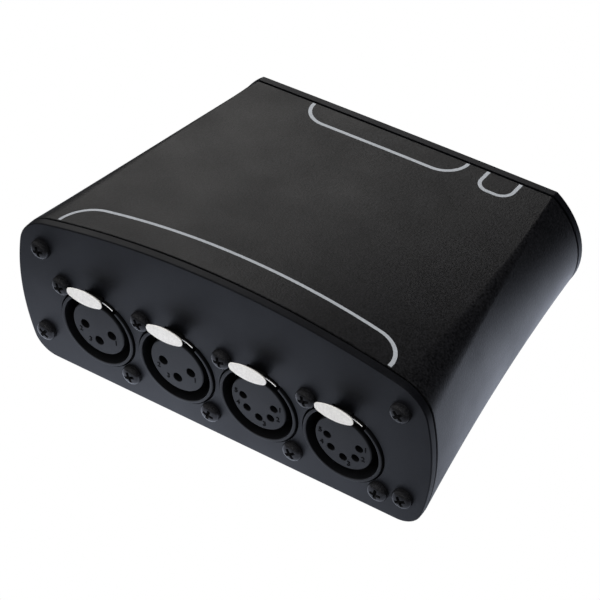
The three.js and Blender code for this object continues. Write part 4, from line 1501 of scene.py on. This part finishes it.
jack, jack_pin = make_jack(), make_pin(**JACK_PIN)
piece = placed(jack, "jack_housing", facing_rear(JACK_X, JACK_Z))
dress(piece, "case", "connector_black", connector_finish, "power_jack")
piece = placed(jack_pin, "jack_contact", facing_rear(JACK_X, JACK_Z))
dress(piece, "case", "spring_steel", steel_finish, "power_jack_pin")
print("jack faces", len(jack.data.polygons))
discard(jack, jack_pin)

# %% [markdown]
# Thin silver-white lines are printed on the top: a wide bracket over the outputs, one over the two
# inputs and a small one over the power jack. Ink is nearly flat, so each line is a ribbon that
# follows the surface a few hundredths of a millimetre above it. A ribbon bends with the flare of
# the case, which a picture laid on the top would not do by itself.

# %% A bracket's path and the ribbon on it
INK_WIDTH = 1.0
INK_RISE = 0.03
INK_SINK = 0.05
INK_STEP = 0.8
CORNER_STEPS = 10
BOW_STEPS = 24


def case_top(x, y):
    """The height of the top surface at a place on it."""
    section = section_at(y)
    drop = section["arch"] - math.sqrt(section["arch"] ** 2 - x**2)
    return CASE_FLOOR + section["height"] - drop


def bracket_path(left, right, open_y, closed_y, radius, bow):
    """A bracket of three sides with round corners, in plan, open towards open_y."""
    sign = 1 if closed_y > open_y else -1
    turn_y = closed_y - sign * (radius + bow)
    turn = [math.pi / 2 * step / CORNER_STEPS for step in range(CORNER_STEPS + 1)]
    corner = [(radius * (1 - math.cos(a)), sign * radius * math.sin(a)) for a in turn]
    path = [(left, open_y), *[(left + dx, turn_y + dy) for dx, dy in corner]]
    middle_x, half = (left + right) / 2, (right - left) / 2 - radius
    for step in range(1, BOW_STEPS):
        share = 2 * step / BOW_STEPS - 1
        path.append((middle_x + half * share, closed_y - sign * bow * share**2))
    path += [(right - dx, turn_y + dy) for dx, dy in reversed(corner)]
    return [*path, (right, open_y)]


def stepped(path):
    """The same path with points no further apart than about one step."""
    points = []
    for start, end in zip(path, path[1:]):
        count = max(1, round(math.dist(start, end) / INK_STEP))
        along = (end[0] - start[0], end[1] - start[1])
        points += [
            (start[0] + along[0] * n / count, start[1] + along[1] * n / count)
            for n in range(count)
        ]
    return [*points, path[-1]]


def add_ribbon(name, path):
    """A thin flat line along a path in plan, lying on the top of the case."""
    corners = ((-1, INK_RISE), (0, INK_RISE), (1, INK_RISE), (1, -INK_SINK), (-1, -INK_SINK))
    points = stepped(path)
    rings = []
    for index, (x, y) in enumerate(points):
        before, after = points[max(index - 1, 0)], points[min(index + 1, len(points) - 1)]
        along = Vector((after[0] - before[0], after[1] - before[1])).normalized()
        side = Vector((-along.y, along.x)) * INK_WIDTH / 2
        ring = []
        for offset, rise in corners:
            px, py = x + offset * side.x, y + offset * side.y
            ring.append((px, py, case_top(px, py) + rise))
        rings.append(ring)
    return skin(name, rings)


# %% Printed brackets
BRACKETS = {
    "outlets_bracket": {
        "left": -47.9, "right": 46.75, "open_y": SLEEVE_FRONT + 0.4, "closed_y": FRONT_Y + 13.3,
        "radius": 8.5, "bow": 1.6,
    },
    "inlets_bracket": {
        "left": -26.7, "right": 20.5, "open_y": SLEEVE_REAR - 0.35, "closed_y": FRONT_Y + 77.3,
        "radius": 6.95, "bow": 0.0,
    },
    "jack_bracket": {
        "left": 26.5, "right": 35.9, "open_y": SLEEVE_REAR - 0.35, "closed_y": FRONT_Y + 76.95,
        "radius": 3.5, "bow": 0.0,
    },
}
for name, sizes in BRACKETS.items():
    ribbon = add_ribbon(name, bracket_path(**sizes))
    dress(ribbon, "case", "case_paint", ink_finish)
    print(name, "faces", len(ribbon.data.polygons))

# %% [markdown]
# The parts inside already have the right shape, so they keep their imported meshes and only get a
# finish. A closed box hides them, but the finish is there if someone takes the box apart.

# %% Finishes for the parts inside
inner_finishes = {
    "main_board": board_finish,
    "bulk_capacitor": foil_finish,
    "power_choke": ferrite_finish,
}
for number in OUTLETS:
    inner_finishes[f"converter_{number}"] = module_finish
    inner_finishes[f"driver_{number}"] = module_finish
    inner_finishes[f"output_{number}_latch_spring"] = steel_finish
for name, finish in inner_finishes.items():
    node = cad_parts[name]
    if not node.material_slots:
        node.data.materials.append(finish)
    for material_slot in node.material_slots:
        material_slot.material = finish
print("parts inside", len(inner_finishes))
